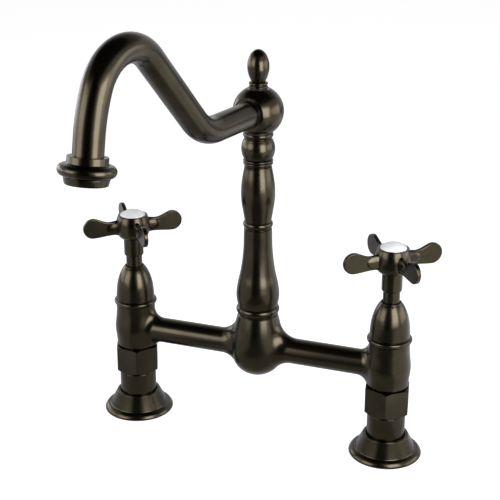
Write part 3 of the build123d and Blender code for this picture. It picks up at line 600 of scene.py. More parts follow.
def dress_nodes(*nodes: str) -> None:
    """Gives CAD nodes that stay the finish of their record slot.

    Args:
        nodes: Their names.
    """
    slots = {part["node"]: part["material_slot"] for part in frame["record"]["subparts"]}
    for node in nodes:
        finish = FINISHES[slots[node]]
        finish.dress(frame["nodes"][node])
        log.info("%s: CAD node in %s", node, finish.slot)


# ---------------------------------------------------------------- valve columns
@dataclass
class DeckFlange:
    """Bell-shaped deck flange with a stepped, rounded rim."""

    height: float = 16.4
    rim_r: float = 27.0
    rim_height: float = 4.8
    shoulder_in: float = 0.9     # middle of the rim's round
    shoulder_up: float = 0.67    # and its height, as a share of the rim's
    toe: float = 1.4             # rounding of the foot
    foot_wall: float = 1.4       # flat ring that stands on the deck
    ledge: float = 2.1           # step between the rim and the cone
    cove: Step = (0.4, 0.3)      # middle of the hollow at the cone's foot
    cove_height: float = 1.2
    cone_r: float = 22.1
    top_r: float = 16.9
    top_round: float = 0.6
    top_middle: Step = (0.2, 0.15)
    lip: float = 2.2             # width of the flat top
    lip_ease: float = 0.25
    bore_r: float = 14.12
    bore_ease: float = 0.3
    web: Span = (3.0, 9.0)       # underside and top of the web round the shank

    def solid(self, place: Matrix) -> Solid:
        """The flange's mesh.

        Args:
            place: Place of its axis on the deck.

        Returns:
            The mesh.
        """
        foot_r, quarter = self.rim_r - self.toe, QUARTER * self.toe
        recess_r, hole, start = foot_r - self.foot_wall, self.top_r - self.lip, self.cone_r + self.ledge
        low, high = self.web
        rim, cone_foot, top = self.rim_height, self.rim_height + self.cove_height, self.height
        crest, crest_r = top - self.top_round, self.top_r - self.top_round
        return (Outline()
                .line((self.bore_r, low), (recess_r, low), (recess_r, 0), (foot_r, 0))
                .bow((foot_r, 0), (self.rim_r - quarter, quarter), (self.rim_r, self.toe))
                .bow((self.rim_r, self.toe), (self.rim_r - self.shoulder_in, rim * self.shoulder_up),
                     (start, rim))
                .bow((start, rim), (self.cone_r + self.cove[0], rim + self.cove[1]), (self.cone_r, cone_foot))
                .line((self.cone_r, cone_foot), (self.top_r, crest))
                .bow((self.top_r, crest), (self.top_r - self.top_middle[0], top - self.top_middle[1]),
                     (crest_r, top))
                .line((crest_r, top), (hole, top, self.lip_ease), (hole, high),
                      (self.bore_r, high, self.bore_ease), (self.bore_r, low))
                .turned(place))


@dataclass
class InletShank:
    """Turned shank with its bare collar and female inlet."""

    collar_r: float = 14.07
    shoulder: float = 33.5
    thread_r: float = 13.2
    top: float = 46.4
    inlet_r: float = 9.3
    inlet_depth: float = 16.0
    drill_tip: float = 2.0
    waterway_r: float = 6.5
    foot_ease: float = 0.4
    top_ease: float = 0.5
    waterway_ease: float = 0.3

    def solid(self, place: Matrix) -> Solid:
        """The shank's mesh.

        Args:
            place: Place of its axis on the deck.

        Returns:
            The mesh.
        """
        return (Outline()
                .line((self.inlet_r, 0, self.foot_ease), (self.collar_r, 0, self.foot_ease),
                      (self.collar_r, self.shoulder, self.top_ease), (self.thread_r, self.shoulder),
                      (self.thread_r, self.top, self.top_ease),
                      (self.waterway_r, self.top, self.waterway_ease),
                      (self.waterway_r, self.inlet_depth + self.drill_tip), (self.inlet_r, self.inlet_depth),
                      (self.inlet_r, 0))
                .turned(place))


@dataclass
class UnionNut:
    """Hexagonal coupling nut with chamfered ends and eased corners."""

    flats: float = 31.3
    low: float = 34.0
    high: float = 55.8
    foot_chamfer: float = 2.9
    foot_inset: float = 1.2
    top_chamfer: float = 1.0
    top_slope: float = 1.7       # chamfer's width to its height
    bore_r: float = 13.25
    bore_ease: float = 0.3
    lip: float = 4.0
    neck_r: float = 9.3
    ease: float = 0.45
    ease_steps: int = 3
    corner: float = 1.5
    corner_steps: int = 5
    overhang: float = 0.2        # of the turned blank past the corners
    cut_reach: float = 1e-4      # points this near a flat's plane lie on it
    upright: float = 8.0         # an edge that rises more than this is one of the six corners
    seen_turn: float = 14.0      # faces must turn by more degrees than this for an edge to be eased
    rim_band: float = 1.6        # and the edge lies in this band at the rim

    def solid(self, place: Matrix, turn: float) -> Solid:
        """The nut's mesh: a chamfered turning, cut to six flats.

        Args:
            place: Place of its axis on the deck.
            turn: Angle of one corner from +X, in degrees.

        Returns:
            The mesh.
        """
        nut = self.blank()
        self.cut_flats(nut, turn)
        self.round_edges(nut, self.corner, self.corner_steps, True)
        self.round_edges(nut, self.ease, self.ease_steps, False)
        bmesh.ops.transform(nut, matrix=place, verts=nut.verts[:])
        return nut

    def blank(self) -> Solid:
        """The turned blank."""
        corner_r = self.flats / 2 / math.cos(math.radians(30))
        out_r, foot_r = corner_r + self.overhang, self.flats / 2 - self.foot_inset
        ledge = self.high - self.lip
        return (Outline()
                .line((self.bore_r, self.low, self.bore_ease), (foot_r, self.low),
                      (out_r, self.low + self.foot_chamfer), (out_r, self.high - self.top_chamfer),
                      (corner_r - self.top_slope * self.top_chamfer, self.high),
                      (self.neck_r, self.high, self.bore_ease), (self.neck_r, ledge), (self.bore_r, ledge),
                      (self.bore_r, self.low))
                .turned())

    def cut_flats(self, nut: Solid, turn: float) -> None:
        """Cuts the six flats.

        Args:
            nut: The blank.
            turn: Angle of one corner from +X, in degrees.
        """
        for flat in range(6):
            angle = math.radians(turn + 30 + 60 * flat)
            away = Vector((math.cos(angle), math.sin(angle), 0))
            cut = bmesh.ops.bisect_plane(nut, geom=nut.verts[:] + nut.edges[:] + nut.faces[:],
                                         dist=self.cut_reach, plane_co=away * self.flats / 2, plane_no=away,
                                         clear_outer=True)
            rim = [part for part in cut["geom_cut"] if isinstance(part, bmesh.types.BMEdge)]
            bmesh.ops.edgenet_fill(nut, edges=rim)
        bmesh.ops.recalc_face_normals(nut, faces=nut.faces[:])

    def round_edges(self, nut: Solid, rounding: float, steps: int, upright: bool) -> None:
        """Rounds the outer edges.

        Args:
            nut: The cut nut.
            rounding: Width of the rounding.
            steps: Its chords.
            upright: Whether the six corners are rounded, or the edges round both ends.
        """
        edges = [edge for edge in nut.edges if len(edge.link_faces) == 2
                 and edge.calc_face_angle() > math.radians(self.seen_turn)
                 and min(vert.co.xy.length for vert in edge.verts) > self.flats / 2 - self.rim_band
                 and upright == (abs(edge.verts[0].co.z - edge.verts[1].co.z) > self.upright)]
        bmesh.ops.bevel(nut, geom=edges, offset=rounding, offset_type="OFFSET", segments=steps, profile=0.5,
                        affect="EDGES", material=-1, clamp_overlap=True)


@dataclass
class Bonnet:
    """Egg-shaped bonnet with a bead round its foot and an eased lip at its top."""

    foot: float = 90.8
    height: float = 31.1
    base_r: float = 14.7
    base_ease: float = 0.15
    bead_r: float = 16.42
    bead_foot: Step = (0.4, 0.3)     # steps and heights from the foot of the base
    bead_middle: float = 2.1
    bead_top: Step = (0.3, 3.9)
    groove: Step = (0.4, 4.1)
    shoulder: float = 4.7
    egg: Shares = ((0.975, 0.33), (0.915, 0.55), (0.775, 0.77), (0.63, 0.91))
    rim: float = 1.0
    rim_drop: float = 0.5
    rim_middle: Step = (0.35, 0.1)
    rim_in: float = 0.8
    lip_drop: float = 0.3
    lip_ease: float = 0.1
    hole_r: float = 6.65
    hole_depth: float = 5.5
    throat: Step = (2.8, 10.5)       # cone that opens from the hole to the bore
    bore_r: float = 12.65
    seat: float = 98.4
    seat_chamfer: Step = (1.0, 2.5)
    seat_wall: float = 1.0

    def solid(self, place: Matrix) -> Solid:
        """The bonnet's mesh.

        Args:
            place: Place of its axis on the deck.

        Returns:
            The mesh.
        """
        foot, top, base, hole = self.foot, self.foot + self.height, self.base_r, self.hole_r
        bead_foot = (base + self.bead_foot[0], foot + self.bead_foot[1])
        bead_top = (base + self.bead_top[0], foot + self.bead_top[1])
        shoulder, rim_r = (base, foot + self.shoulder), hole + self.rim
        rim_foot, rim_top = (rim_r, top - self.rim_drop), (rim_r - self.rim_in, top)
        return (Outline()
                .line((self.bore_r, foot), (base, foot, self.base_ease), bead_foot)
                .bow(bead_foot, (self.bead_r, foot + self.bead_middle), bead_top)
                .line(bead_top, (base - self.groove[0], foot + self.groove[1], self.base_ease), shoulder)
                .swell(shoulder, *knots(self.egg, base, foot, self.height), rim_foot)
                .bow(rim_foot, (rim_r - self.rim_middle[0], top - self.rim_middle[1]), rim_top, steps=6)
                .line(rim_top, (hole, top - self.lip_drop, self.lip_ease), (hole, top - self.hole_depth),
                      (hole + self.throat[0], top - self.throat[1]),
                      (self.bore_r - self.seat_chamfer[0], self.seat + self.seat_chamfer[1]),
                      (self.bore_r, self.seat + self.seat_wall), (self.bore_r, foot))
                .turned(place))


@dataclass
class StemExtension:
    """Round extension that carries the handle."""

    radius: float = 6.1
    low: float = 104.45
    shoulder: float = 130.5
    shoulder_ease: float = 0.3
    spigot_r: float = 4.4
    spigot_top: float = 146.5
    ease: float = 0.4
    stem_r: float = 4.05
    stem_top: float = 112.6
    screw_r: float = 2.05
    screw_low: float = 136.8

    def solid(self, place: Matrix) -> Solid:
        """The extension's mesh.

        Args:
            place: Place of its axis on the deck.

        Returns:
            The mesh.
        """
        return (Outline()
                .line((self.stem_r, self.low), (self.radius, self.low, self.ease),
                      (self.radius, self.shoulder, self.shoulder_ease), (self.spigot_r, self.shoulder),
                      (self.spigot_r, self.spigot_top, self.ease), (self.screw_r, self.spigot_top),
                      (self.screw_r, self.screw_low), (0, self.screw_low))
                .line((self.stem_r, self.low), (self.stem_r, self.stem_top), (0, self.stem_top))
                .turned(place, steps=SLIM_AROUND))


@dataclass
class IndexButton:
    """Plain porcelain button with a domed face."""

    radius: float = 9.4
    seat: float = 161.0
    seat_ease: float = 0.2
    shoulder: float = 163.3
    dome: float = 3.0
    edge_in: float = 0.7         # round between the wall and the dome
    edge_up: float = 0.3
    edge_down: float = 0.4
    edge_middle: float = 0.2
    plug_r: float = 7.2
    plug: float = 3.6
    plug_ease: float = 0.4

    def solid(self, place: Matrix) -> Solid:
        """The button's mesh.

        Args:
            place: Place of its axis on the deck.

        Returns:
            The mesh.
        """
        edge_r, crown, foot = self.radius - self.edge_in, self.shoulder + self.dome, self.seat - self.plug
        rise = self.dome - self.edge_up
        ball_r = (edge_r**2 + rise**2) / (2 * rise)
        lean = math.asin(edge_r / ball_r) / 2
        middle = (ball_r * math.sin(lean), crown - ball_r * (1 - math.cos(lean)))
        wall_top = (self.radius, self.shoulder - self.edge_down)
        dome_foot = (edge_r, self.shoulder + self.edge_up)
        return (Outline()
                .line((0, foot), (self.plug_r, foot, self.plug_ease), (self.plug_r, self.seat),
                      (self.radius, self.seat, self.seat_ease), wall_top)
                .bow(wall_top, (self.radius - self.edge_middle, self.shoulder), dome_foot, steps=6)
                .bow(dome_foot, middle, (0, crown), steps=16)
                .turned(place))


@dataclass
class ValveColumn:
    """One side of the faucet: flange, shank, nut, body, bonnet, stem and cross handle."""

    side: Side
    nut_turn: float
    flange: DeckFlange = field(default_factory=DeckFlange)
    shank: InletShank = field(default_factory=InletShank)
    nut: UnionNut = field(default_factory=UnionNut)
    bonnet: Bonnet = field(default_factory=Bonnet)
    extension: StemExtension = field(default_factory=StemExtension)
    button: IndexButton = field(default_factory=IndexButton)

    def build(self) -> None:
        """Builds and dresses every piece of the column."""
        word, place = self.side.word, self.side.place
        turning = f"{word}_handle"
        fixed = {"base_flange": self.flange.solid(place), "inlet_shank": self.shank.solid(place),
                 "union_nut": self.nut.solid(place, self.nut_turn), "bonnet": self.bonnet.solid(place)}
        for name, solid in fixed.items():
            shown(solid, f"turned_{name}_{word}", "root", BRONZE, f"{name}_{word}")
        shown(self.extension.solid(place), f"turned_extension_{word}", turning, BRONZE,
              f"stem_extension_{word}")
        shown(self.button.solid(place), f"glazed_button_{word}", turning, FINISHES["porcelain"],
              f"index_button_{word}")
        castings = ("valve_body", "bridge_tube", "handle")
        inside = ("union_washer", "union_tail", "cartridge", "seat_seal", "fixed_disc", "moving_disc", "stem",
                  "stem_o_ring", "handle_screw")
        dress_nodes(*(f"{name}_{word}" for name in castings + inside))


# ---------------------------------------------------------------- centre column
@dataclass
class RingGroove:
    """Rounded edge over a neck and the fine groove above it, measured down from the ring."""

    depth: float = 0.9
    floor: Span = (0.9, 0.4)     # where the groove's floor starts and ends
    floor_ease: float = 0.12
    edge: Step = (0.05, 1.4)
    roll: Step = (0.3, 1.1)
    roll_ease: float = 0.15
    ring_in: float = 0.4

    def draw(self, outline: Outline, neck_r: float, low: float, ring: float) -> None:
        """Draws the edge and the groove.

        Args:
            outline: The outline to draw in.
            neck_r: Radius of the neck.
            low: Height where the edge starts.
            ring: Height where the ring starts.
        """
        floor_r = neck_r - self.depth
        outline.line((neck_r, low), (neck_r - self.edge[0], ring - self.edge[1]),
                     (neck_r - self.roll[0], ring - self.roll[1], self.roll_ease),
                     (floor_r, ring - self.floor[0], self.floor_ease),
                     (floor_r, ring - self.floor[1], self.floor_ease), (neck_r - self.ring_in, ring))


@dataclass
class RiserColumn:
    """Turned riser: two vases and a small ball between ringed beads."""

    foot: float = 97.35
    foot_ring: float = 7.2
    lower_vase: float = 58.4
    middle_ring: float = 7.4
    upper_vase: float = 40.4
    double_ring: float = 6.3
    small_ball: float = 14.5
    top_ring: float = 5.0

    foot_ring_r: float = 16.1
    foot_ring_in: float = 1.7
    foot_ring_middle: float = 3.9
    foot_ring_end: Step = (0.2, 0.6)
    plinth: float = 1.0
    plinth_ease: float = 0.2

    lower_vase_r: float = 15.95
    lower_vase_foot: float = 1.05
    lower_vase_bulge: Shares = ((1.0, 0.134), (0.94, 0.288), (0.811, 0.452))
    lower_vase_waist: Step = (1.058, 0.721)    # shares of the neck's radius and the vase's height
    lower_neck_r: float = 10.3

    middle_edge: float = 2.9
    middle_ring_r: float = 10.95
    middle_crest: float = 2.4
    middle_end: float = 1.25

    upper_vase_r: float = 12.35
    upper_vase_bulge: Shares = ((0.883, 0.181), (0.977, 0.369), (1.0, 0.559), (0.951, 0.748))
    upper_neck_r: float = 10.0

    double_edge: float = 2.3
    double_ring_r: float = 10.85
    first_crest: Step = (0.1, 1.0)
    double_waist: Step = (0.65, 2.0)
    second_crest: float = 3.0
    double_end: float = 0.95

    small_ball_r: float = 12.1
    ball_crest: float = 0.56     # share of the ball's height
    ball_end: float = 1.8

    top_edge: float = 1.6
    top_ring_r: float = 10.85
    top_crest: float = 1.4
    top_end: float = 0.65

    bore_r: float = 6.0
    spigot_r: float = 9.0
    spigot: float = 13.0
    spigot_ease: float = 0.4
    thread_r: float = 7.5
    thread: float = 12.2
    thread_ease: float = 0.2
    groove: RingGroove = field(default_factory=RingGroove)

    def solid(self) -> Solid:
        """The riser's mesh, drawn upwards from its spigot and closed down its bore."""
        column = Outline()
        vase = self.draw_foot(column)
        upper = self.draw_lower_vase(column, vase)
        ball = self.draw_upper_vase(column, upper)
        top = self.draw_ball(column, ball)
        spigot_low = self.foot - self.spigot
        column.line((self.top_ring_r - self.top_end, top), (self.thread_r, top, self.thread_ease),
                    (self.thread_r, top - self.thread), (self.bore_r, top - self.thread),
                    (self.bore_r, spigot_low))
        return column.turned()

    def draw_foot(self, column: Outline) -> float:
        """Draws the spigot and the foot ring.

        Args:
            column: The outline to draw in.

        Returns:
            Height of the ring's top.
        """
        low, foot, base_r = self.foot - self.spigot, self.foot, self.foot_ring_r - self.foot_ring_in
        vase = foot + self.foot_ring
        ring_end = (base_r + self.foot_ring_end[0], vase - self.foot_ring_end[1])
        column.line((self.bore_r, low), (self.spigot_r, low, self.spigot_ease), (self.spigot_r, foot),
                    (base_r, foot, self.plinth_ease), (base_r, foot + self.plinth))
        column.bow((base_r, foot + self.plinth), (self.foot_ring_r, foot + self.foot_ring_middle),
                   ring_end, steps=16)
        column.line(ring_end, (self.lower_vase_r - self.lower_vase_foot, vase))
        return vase

    def draw_lower_vase(self, column: Outline, vase: float) -> float:
        """Draws the lower vase and the ring over it.

        Args:
            column: The outline to draw in.
            vase: Height where the vase starts.

        Returns:
            Height of the ring's top.
        """
        neck_r, ring_r = self.lower_neck_r, self.middle_ring_r
        top = vase + self.lower_vase
        ring, upper = top + self.middle_edge, top + self.middle_ring
        waist = (self.lower_vase_waist[0] * neck_r, vase + self.lower_vase_waist[1] * self.lower_vase)
        column.swell((self.lower_vase_r - self.lower_vase_foot, vase),
                     *knots(self.lower_vase_bulge, self.lower_vase_r, vase, self.lower_vase),
                     waist, (neck_r, top))
        self.groove.draw(column, neck_r, top, ring)
        column.bow((neck_r - self.groove.ring_in, ring), (ring_r, ring + self.middle_crest),
                   (ring_r - self.middle_end, upper), steps=16)
        return upper

    def draw_upper_vase(self, column: Outline, upper: float) -> float:
        """Draws the upper vase and the double ring over it.

        Args:
            column: The outline to draw in.
            upper: Height where the vase starts.

        Returns:
            Height of the double ring's top.
        """
        neck_r, ring_r = self.upper_neck_r, self.double_ring_r
        top = upper + self.upper_vase
        ring, ball = top + self.double_edge, top + self.double_ring
        waist = (ring_r - self.double_waist[0], ring + self.double_waist[1])
        column.swell((self.middle_ring_r - self.middle_end, upper),
                     *knots(self.upper_vase_bulge, self.upper_vase_r, upper, self.upper_vase), (neck_r, top))
        self.groove.draw(column, neck_r, top, ring)
        column.bow((neck_r - self.groove.ring_in, ring),
                   (ring_r - self.first_crest[0], ring + self.first_crest[1]), waist, steps=10)
        column.bow(waist, (ring_r, ring + self.second_crest), (ring_r - self.double_end, ball), steps=10)
        return ball

    def draw_ball(self, column: Outline, ball: float) -> float:
        """Draws the small ball and the ring over it.

        Args:
            column: The outline to draw in.
            ball: Height where the ball starts.

        Returns:
            Height of the riser's top.
        """
        neck_r, foot = self.small_ball_r - self.ball_end, ball + self.small_ball
        ring, top = foot + self.top_edge, foot + self.top_ring
        column.bow((self.double_ring_r - self.double_end, ball),
                   (self.small_ball_r, ball + self.ball_crest * self.small_ball), (neck_r, foot), steps=24)
        self.groove.draw(column, neck_r, foot, ring)
        column.bow((neck_r - self.groove.ring_in, ring), (self.top_ring_r, ring + self.top_crest),
                   (self.top_ring_r - self.top_end, top), steps=12)
        return top


@dataclass
class Finial:
    """Acorn finial on a double ring."""

    foot: float = 268.45
    ring_r: float = 6.8
    ring_in: float = 0.5
    ring_height: float = 4.7
    lower_crest: float = 0.8
    lower_top: float = 1.6
    groove_in: float = 1.0
    groove: Span = (1.8, 2.2)
    groove_ease: float = 0.08
    upper_foot: float = 2.4
    upper_crest: Step = (0.05, 3.1)
    upper_top: float = 4.1
    neck_r: float = 5.05
    acorn_r: float = 7.74
    acorn: Shares = ((0.88, 0.19), (1.0, 0.45), (0.84, 0.75), (0.5, 0.93))
    tip: Step = (0.17, 0.12)     # share of the acorn's radius, and how far under the tip
    height: float = 26.9
    stud_r: float = 2.5
    stud: float = 9.0
    stud_ease: float = 0.3

    def solid(self) -> Solid:
        """The finial's mesh."""
        foot, ring, cup = self.foot, self.ring_r, self.foot + self.ring_height
        egg = self.height - self.ring_height
        tip, edge_r, groove_r = cup + egg, ring - self.ring_in, ring - self.groove_in
        lower_top, upper_foot = (edge_r, foot + self.lower_top), (edge_r, foot + self.upper_foot)
        upper_top = (groove_r, foot + self.upper_top)
        return (Outline()
                .line((0, foot - self.stud), (self.stud_r, foot - self.stud, self.stud_ease),
                      (self.stud_r, foot), (edge_r, foot))
                .bow((edge_r, foot), (ring, foot + self.lower_crest), lower_top)
                .line(lower_top, (groove_r, foot + self.groove[0], self.groove_ease),
                      (groove_r, foot + self.groove[1], self.groove_ease), upper_foot)
                .bow(upper_foot, (ring - self.upper_crest[0], foot + self.upper_crest[1]), upper_top)
                .line(upper_top, (self.neck_r, cup))
                .swell((self.neck_r, cup), *knots(self.acorn, self.acorn_r, cup, egg),
                       (self.tip[0] * self.acorn_r, tip - self.tip[1]), (0, tip))
                .turned())


@dataclass
class CentreColumn:
    """The hub between the valves, the riser on it and the finial on top."""

    riser: RiserColumn = field(default_factory=RiserColumn)
    finial: Finial = field(default_factory=Finial)

    def build(self) -> None:
        """Builds and dresses the pieces on the centre line that stand still."""
        shown(self.riser.solid(), "turned_riser", "root", BRONZE, "riser")
        shown(self.finial.solid(), "acorn_finial", "root", BRONZE, "finial")
        dress_nodes("bridge_hub", "riser_washer", "swivel_post", "post_o_rings", "swivel_washer",
                    "finial_washer")


# ---------------------------------------------------------------- spout
@dataclass(frozen=True)
class Bend:
    """A bend of the spout tube and the straight run after it."""

    radius: float
    turn: float      # degrees, up where it is positive
    run: float


@dataclass
class Gooseneck:
    """Bent spout tube, drawn ring by ring along its straight runs and bends."""

    radius: float = 9.25
    wall: float = 1.25
    axis: float = 251.85
    socket: float = 10.2
    run: float = 46.8
    bends: tuple[Bend, ...] = (Bend(38.0, 45.5, 68.0), Bend(33.0, -109.5, 0.0), Bend(100.0, -16.0, 14.5))
    bend_step: float = 2.5       # degrees between two rings of a bend
    fewest_steps: int = 4
    swing: float = 9.0
    pen: Matrix = field(default_factory=Matrix)

    def solid(self) -> Solid:
        """The tube's mesh; its pen is left at the outlet end, heading along local X."""
        bm = bmesh.new()
        self.pen = Matrix.Translation((self.socket, 0, self.axis))
        upright = self.pen @ Matrix.Rotation(math.pi / 2, 4, "Y")
        rings = [bmesh.ops.create_circle(bm, segments=SLIM_AROUND, radius=size, matrix=upright)["verts"]
                 for size in (self.radius, self.radius - self.wall)]
        loop = list({edge for ring in rings for vert in ring for edge in vert.link_edges})
        bmesh.ops.bridge_loops(bm, edges=loop)
        loop = self.straight(bm, loop, self.run)
        for bend in self.bends:
            loop = self.bent(bm, loop, bend)
            if bend.run:
                loop = self.straight(bm, loop, bend.run)
        bmesh.ops.bridge_loops(bm, edges=loop)
        turned_to = Matrix.Rotation(math.radians(-90 - self.swing), 4, "Z")
        bmesh.ops.transform(bm, matrix=turned_to, verts=bm.verts[:])
        self.pen = turned_to @ self.pen
        return bm

    def straight(self, bm: Solid, loop: Edges, length: float) -> Edges:
        """Draws the tube straight on.

        Args:
            bm: The tube so far.
            loop: Its open edges.
            length: How far it goes.

        Returns:
            The new open edges.
        """
        drawn = bmesh.ops.extrude_edge_only(bm, edges=loop)["geom"]
        dots = [part for part in drawn if isinstance(part, bmesh.types.BMVert)]
        bmesh.ops.translate(bm, verts=dots, vec=self.pen.to_3x3() @ Vector((length, 0, 0)))
        self.pen = self.pen @ Matrix.Translation((length, 0, 0))
        return [part for part in drawn if isinstance(part, bmesh.types.BMEdge)]

    def bent(self, bm: Solid, loop: Edges, bend: Bend) -> Edges:
        """Bends the tube up or down.

        Args:
            bm: The tube so far.
            loop: Its open edges.
            bend: The bend.

        Returns:
            The new open edges.
        """
        hub = self.pen @ Vector((0, 0, math.copysign(bend.radius, bend.turn)))
        angle = math.radians(-bend.turn)
        steps = max(self.fewest_steps, round(abs(bend.turn) / self.bend_step))
        drawn = bmesh.ops.spin(bm, geom=loop, cent=hub, axis=(0, 1, 0), dvec=(0, 0, 0), angle=angle,
                               steps=steps, use_duplicate=False)["geom_last"]
        around = Matrix.Translation(hub) @ Matrix.Rotation(angle, 4, "Y") @ Matrix.Translation(-hub)
        self.pen = around @ self.pen
        return [part for part in drawn if isinstance(part, bmesh.types.BMEdge)]


@dataclass
class Outlet:
    """Ferrule, fat bead and tapered rim at the spout's end, drawn hanging down from z = 0."""

    tube_r: float = 9.3
    collar_r: float = 12.25
    collar_height: float = 4.6
    collar_flare: float = 0.15
    collar_ease: float = 0.25
    cove: float = 0.5
    cove_ease: float = 0.3
    bead_r: float = 17.3
    bead_height: float = 7.1
    bead_in: float = 0.6
    rim_top_r: float = 13.8
    rim_bottom_r: float = 12.7
    rim_height: float = 4.6
    rim_ease: float = 0.35
    rim_foot_ease: float = 0.7
    thread_r: float = 11.2
    thread: float = 5.0
    thread_ease: float = 0.3
    bore_ease: float = 0.2
    gasket: float = 1.2
    bore_r: float = 9.8
    mouth_r: float = 9.0
    ledge: float = 1.2

    def ferrule(self, place: Matrix) -> Solid:
        """Plain ring over a fat bead.

        Args:
            place: Place of the collar's top, with the outlet along local -Z.

        Returns:
            The mesh.
        """
        top, low = -self.collar_height, -self.collar_height - self.bead_height
        inner, thread = self.rim_top_r - self.bead_in, self.thread_r + THREAD_GAP
        shoulder = low - SHADOW_GAP + self.thread + self.gasket + THREAD_GAP
        bead_top = (self.collar_r + self.cove, top)
        return (Outline()
                .line((self.tube_r, 0), (self.collar_r - self.collar_flare, 0, self.collar_ease),
                      (self.collar_r, top + self.cove, self.cove_ease), bead_top)
                .bow(bead_top, (self.bead_r, (top + low) / 2), (inner, low), steps=20)
                .line((inner, low), (thread, low, self.bore_ease), (thread, shoulder),
                      (self.tube_r, shoulder), (self.tube_r, 0))
                .turned(place))

    def housing(self, place: Matrix) -> Solid:
        """Tapered rim that holds the screen.

        Args:
            place: Place of the collar's top.

        Returns:
            The mesh.
        """
        top = -self.collar_height - self.bead_height - SHADOW_GAP
        low, thread_top = top - self.rim_height, top + self.thread
        return (Outline()
                .line((self.thread_r, thread_top, self.thread_ease), (self.thread_r, top),
                      (self.rim_top_r, top, self.rim_ease), (self.rim_bottom_r, low, self.rim_foot_ease),
                      (self.mouth_r, low, self.rim_ease), (self.mouth_r, low + self.ledge),
                      (self.bore_r, low + self.ledge), (self.bore_r, thread_top), (self.thread_r, thread_top))
                .turned(place))


@dataclass
class Spout:
    """Everything that swings on the post: ball hub, gooseneck and outlet."""

    tube: Gooseneck = field(default_factory=Gooseneck)
    outlet: Outlet = field(default_factory=Outlet)

    def build(self) -> None:
        """Builds and dresses the swinging pieces."""
        shown(self.tube.solid(), "gooseneck_tube", "spout", BRONZE, "spout_tube")
        end = self.tube.pen @ Matrix.Translation((-self.outlet.collar_height, 0, 0))
        place = end @ Matrix.Rotation(-math.pi / 2, 4, "Y")
        shown(self.outlet.ferrule(place), "outlet_ferrule", "spout", BRONZE, "spout_collar")
        shown(self.outlet.housing(place), "outlet_rim", "spout", BRONZE, "aerator_housing")
        dress_nodes("spout_hub", "aerator_screen", "aerator_gasket")


# ---------------------------------------------------------------- studio
@dataclass(frozen=True)
class SoftBox:
    """A soft box aimed at the faucet, in metres and degrees."""

    name: str
    azimuth: float       # round from -Y towards +X
    elevation: float     # above the horizon
    distance: float      # from the faucet's middle
    width: float
    height: float
    level: float         # brightness of its face, where 1 is white


@dataclass(frozen=True)
class Card:
    """A card that only reflections show."""

    name: str
    level: float         # from 0 for black to 1 for white
    corners: tuple[Triple, ...]


